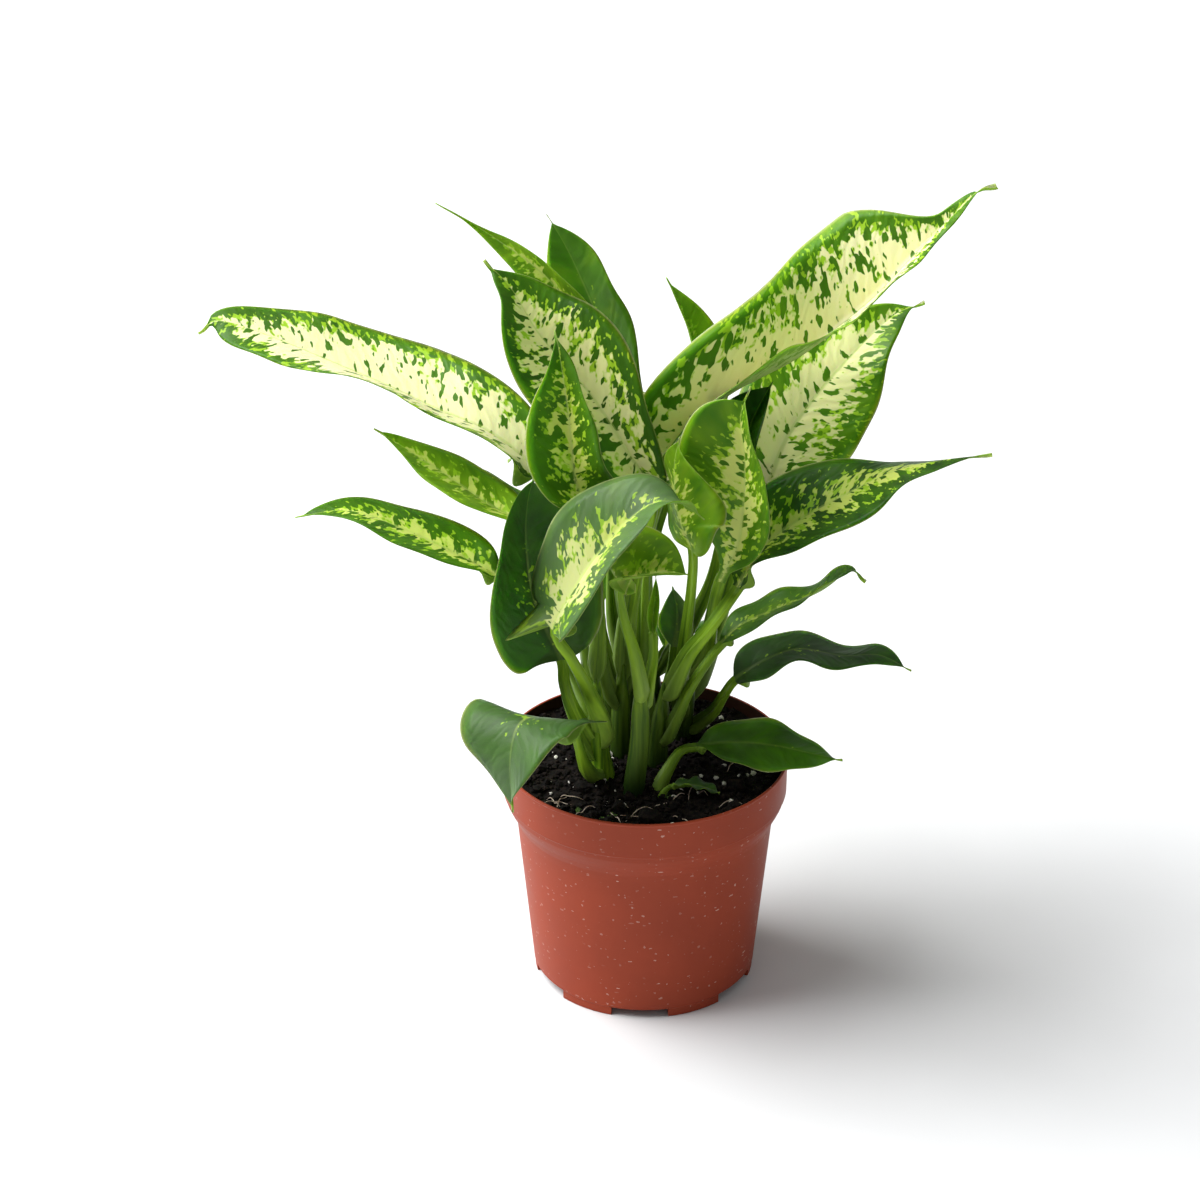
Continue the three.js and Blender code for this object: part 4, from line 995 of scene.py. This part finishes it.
# ---- Pieces: soil ----
def soil_height(x, y):
    """Height of the soil: tilted to the front, mounded in the middle and crumbly."""
    edge = RIM_RADIUS - WALL
    reach = min(math.hypot(x, y) / edge, 1)
    tilt = (SOIL_FRONT + SOIL_BACK) / 2 - (SOIL_FRONT - SOIL_BACK) / 2 * y / edge
    return tilt + SOIL_MOUND * (1 - reach ** 2)


def crumbled(x, y):
    """Soil height with its clods."""
    at = Vector((x, y, 0))
    smoothness, gaps, octaves = 0.9, 2.2, 4
    clods = CLOD_HEIGHT * noise.fractal(at * CLOD_RATE, smoothness, gaps, octaves)
    return soil_height(x, y) + clods - CLOD_SINK


def build_soil(material):
    """Bed of soil that fills the pot up to its crumbly top."""
    rings, columns = 70, 180
    edge = RIM_RADIUS - WALL - 0.2

    def point_at(column, row):
        turn = math.tau * column / columns
        if row <= rings:
            radius = edge * (row / rings) ** 0.9
            x, y = radius * math.cos(turn), radius * math.sin(turn)
            return place(x, y, crumbled(x, y))
        radius, height = [(edge, BAND_STRAIGHT + 1), (NECK_RADIUS - WALL - 0.4, BAND_FOOT),
                          (FOOT_RADIUS - 1.2, FLOOR_TOP + 0.5), (0, FLOOR_TOP + 0.5)][row - rings - 1]
        return place(radius * math.cos(turn), radius * math.sin(turn), height)

    bm = bmesh.new()
    wrapped_skin(bm, columns, rings + 4, point_at)
    return finish_piece("soil_bed", bm, [material], ["soil"])


def scatter(bm, count, radius_at, draw, flatten, reach, centre=(0, 0)):
    """Scatters small lumps over the soil, each an irregular low ball."""
    for _ in range(count):
        distance = reach * math.sqrt(draw.random())
        turn = draw.uniform(0, math.tau)
        x, y = centre[0] + distance * math.cos(turn), centre[1] + distance * math.sin(turn)
        radius = radius_at(draw)
        lump = bmesh.ops.create_icosphere(bm, subdivisions=1, radius=radius * MM)["verts"]
        for vert in lump:
            vert.co *= draw.uniform(0.7, 1.2)
        spin = Matrix.Rotation(draw.uniform(0, math.tau), 4, (draw.random(), draw.random(), 1.1))
        at = place(x, y, crumbled(x, y) + radius * LUMP_LIFT)
        bmesh.ops.transform(bm, matrix=Matrix.Translation(at) @ spin @ Matrix.Diagonal((1, 1, flatten, 1)),
                            verts=lump)


def build_crumbs(material, sizes):
    """Loose crumbs on the soil."""
    draw = random.Random(sizes.seed)
    bm = bmesh.new()
    mean = sizes.crumb / MM
    scatter(bm, sizes.crumbs, lambda d: mean * d.lognormvariate(-0.2, 0.45), draw, 0.8, RIM_RADIUS - 3.5)
    return finish_piece("soil_crumbs", bm, [material], smooth=False)


def build_perlite(material, sizes):
    """White grains of perlite among the crumbs."""
    draw = random.Random(sizes.seed + 1)
    bm = bmesh.new()
    scatter(bm, sizes.perlite, lambda d: d.uniform(0.3, 0.75) ** 0.5 * d.choice((0.7, 1.2, 1.7)),
            draw, 0.8, RIM_RADIUS - 4)
    return finish_piece("perlite_grains", bm, [material], smooth=False)


def build_moss(material, sizes):
    """Tufts of moss by the front rim."""
    draw = random.Random(sizes.seed + 3)
    bm = bmesh.new()
    for x, y, reach, count in MOSS:
        scatter(bm, count, lambda d: d.uniform(0.35, 0.8), draw, 1.0, reach, (x, y))
    return finish_piece("moss_tufts", bm, [material], smooth=False)


def build_roots(material, sizes):
    """Thin roots that lie on the soil."""
    draw = random.Random(sizes.seed + 2)
    bm = bmesh.new()
    for start_x, start_y, heading, length in ROOTS:
        anchors = []
        x, y, turn = start_x, start_y, math.radians(heading)
        # A root arches over the crumbs and dips into the soil at both ends.
        for k in range(6):
            lift = 0.6 + (1.6 if 0 < k < 5 else -1.4) * draw.random()
            anchors.append((x, y, crumbled(x, y) + lift))
            turn += draw.uniform(-0.5, 0.5)
            x, y = x + length / 5 * math.cos(turn), y + length / 5 * math.sin(turn)
        spine = Spine(anchors)
        rows, columns = 40, 6

        def point_at(column, row, spine=spine):
            centre, tangent = spine.read(spine.length * row / rows)
            thick = ROOT_RADIUS * math.sin(math.pi * row / rows) ** 0.3
            side = tangent.cross(Vector((0, 0, 1))).normalized()
            up = side.cross(tangent)
            angle = math.tau * column / columns
            return place(*(centre + (side * math.cos(angle) + up * math.sin(angle)) * thick))
        wrapped_skin(bm, columns, rows, point_at)
    return finish_piece("feeder_roots", bm, [material])


# ---- Stage ----
CAMERA_DISTANCE = 1800 * MM     # from the pot's foot, for the photograph's weak perspective
CAMERA_RISE = 32.95             # degrees above the floor
CAMERA_PAN = -0.71              # degrees that the view is turned from the pot's axis
CAMERA_TILT = 28.07             # degrees that the view looks down
CAMERA_LENS = 125.6
SENSOR_WIDTH = 36
SOFTBOX_POWER, SOFTBOX_SIZE, SOFTBOX_DISTANCE = 235, 2.8, 3.0
SOFTBOX_AZIMUTH, SOFTBOX_RISE = 170, 50       # degrees
SOFTBOX_AIM = 100 * MM          # height above the pot's foot that it points at
SKY = 0.34                      # strength of the even light from all sides


def build_stage(colours):
    """Pale sweep, soft studio light from the left and the photograph's camera."""
    bm = bmesh.new()
    bmesh.ops.create_grid(bm, x_segments=2, y_segments=2, size=4)
    mesh = bpy.data.meshes.new("paper_sweep")
    bm.to_mesh(mesh)
    bm.free()
    mesh.materials.append(floor_material(colours))
    floor = bpy.data.objects.new("paper_sweep", mesh)
    bpy.context.scene.collection.objects.link(floor)

    world = bpy.data.worlds.new("studio")
    world.use_nodes = True
    background = world.node_tree.nodes["Background"]
    background.inputs["Color"].default_value = hex_colour("ffffff")
    background.inputs["Strength"].default_value = SKY
    bpy.context.scene.world = world

    light = bpy.data.lights.new("softbox", "AREA")
    light.energy = SOFTBOX_POWER
    light.size = SOFTBOX_SIZE
    lamp = bpy.data.objects.new("softbox", light)
    turn, rise = math.radians(SOFTBOX_AZIMUTH), math.radians(SOFTBOX_RISE)
    spot = Vector((math.cos(turn) * math.cos(rise), math.sin(turn) * math.cos(rise), math.sin(rise)))
    lamp.location = POT_AXIS + Vector((0, 0, SOFTBOX_AIM)) + spot * SOFTBOX_DISTANCE
    lamp.rotation_euler = (-spot).to_track_quat("-Z", "Y").to_euler()
    bpy.context.scene.collection.objects.link(lamp)

    rise, pan, tilt = (math.radians(angle) for angle in (CAMERA_RISE, CAMERA_PAN, CAMERA_TILT))
    lens = bpy.data.cameras.new("camera")
    lens.lens = CAMERA_LENS
    lens.sensor_width = SENSOR_WIDTH
    camera = bpy.data.objects.new("camera", lens)
    camera.location = POT_AXIS + CAMERA_DISTANCE * Vector((0, -math.cos(rise), math.sin(rise)))
    look = Vector((math.sin(pan) * math.cos(tilt), math.cos(pan) * math.cos(tilt), -math.sin(tilt)))
    camera.rotation_euler = look.to_track_quat("-Z", "Y").to_euler()
    bpy.context.scene.collection.objects.link(camera)
    bpy.context.scene.camera = camera
    bpy.context.scene.view_settings.view_transform = "Standard"


# ---- Operators, panel and registration ----
class PLANT_OT_leaves(bpy.types.Operator):
    """Builds every leaf with its stalk"""

    bl_idname = "plant.leaves"
    bl_label = "Leaves"

    def execute(self, context):
        colours = palette(context.scene.plant_colours)
        materials = [
            leaf_blade_material("waxy_variegated_leaf", False, colours),
            leaf_blade_material("dull_leaf_underside", True, colours),
            petiole_material(colours),
        ]
        for number, (name, given) in enumerate(LEAVES.items()):
            build_leaf(name, {**LEAF_DEFAULTS, **given}, number, materials)
        return {"FINISHED"}


class PLANT_OT_canes(bpy.types.Operator):
    """Builds the canes that carry the leaves"""

    bl_idname = "plant.canes"
    bl_label = "Canes"

    def execute(self, context):
        material = cane_material(palette(context.scene.plant_colours))
        for name, (path, foot_shade_share) in CANES.items():
            build_cane(name, path, foot_shade_share, material)
        return {"FINISHED"}


class PLANT_OT_pot(bpy.types.Operator):
    """Builds the nursery pot"""

    bl_idname = "plant.pot"
    bl_label = "Pot"

    def execute(self, context):
        build_pot(pot_material(palette(context.scene.pot_colours)))
        return {"FINISHED"}


class PLANT_OT_soil(bpy.types.Operator):
    """Builds the soil with its crumbs, perlite and roots"""

    bl_idname = "plant.soil"
    bl_label = "Soil"

    def execute(self, context):
        colours = palette(context.scene.pot_colours)
        sizes = context.scene.plant_sizes
        soil = soil_material(colours)
        build_soil(soil)
        build_crumbs(soil, sizes)
        build_perlite(mineral_material(colours), sizes)
        build_roots(root_material(colours), sizes)
        build_moss(moss_material(colours), sizes)
        return {"FINISHED"}


class PLANT_OT_stage(bpy.types.Operator):
    """Sets out the floor, the lights and the camera"""

    bl_idname = "plant.stage"
    bl_label = "Stage"

    def execute(self, context):
        build_stage(palette(context.scene.pot_colours))
        return {"FINISHED"}


OPERATORS = (PLANT_OT_pot, PLANT_OT_soil, PLANT_OT_canes, PLANT_OT_leaves, PLANT_OT_stage)


class VIEW3D_PT_plant(bpy.types.Panel):
    """Lists the pieces of the plant and their settings"""

    bl_label = "Potted Dieffenbachia"
    bl_space_type = "VIEW_3D"
    bl_region_type = "UI"
    bl_category = "Plant"

    def draw(self, context):
        column = self.layout.column()
        for operator in OPERATORS:
            column.operator(operator.bl_idname)
        for group in (context.scene.plant_sizes, context.scene.plant_colours, context.scene.pot_colours):
            for key in group.__annotations__:
                column.prop(group, key)


SETTINGS = {"plant_sizes": PlantSizes, "plant_colours": PlantColours, "pot_colours": PotColours}


def register():
    for kind in (*SETTINGS.values(), *OPERATORS, VIEW3D_PT_plant):
        bpy.utils.register_class(kind)
    for name, group in SETTINGS.items():
        setattr(bpy.types.Scene, name, bpy.props.PointerProperty(type=group))


def unregister():
    for name in SETTINGS:
        delattr(bpy.types.Scene, name)
    for kind in (VIEW3D_PT_plant, *reversed(OPERATORS), *SETTINGS.values()):
        bpy.utils.unregister_class(kind)


def main():
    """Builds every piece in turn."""
    register()
    bpy.ops.plant.pot()
    bpy.ops.plant.soil()
    bpy.ops.plant.canes()
    bpy.ops.plant.leaves()
    bpy.ops.plant.stage()


if __name__ == "__main__":
    main()
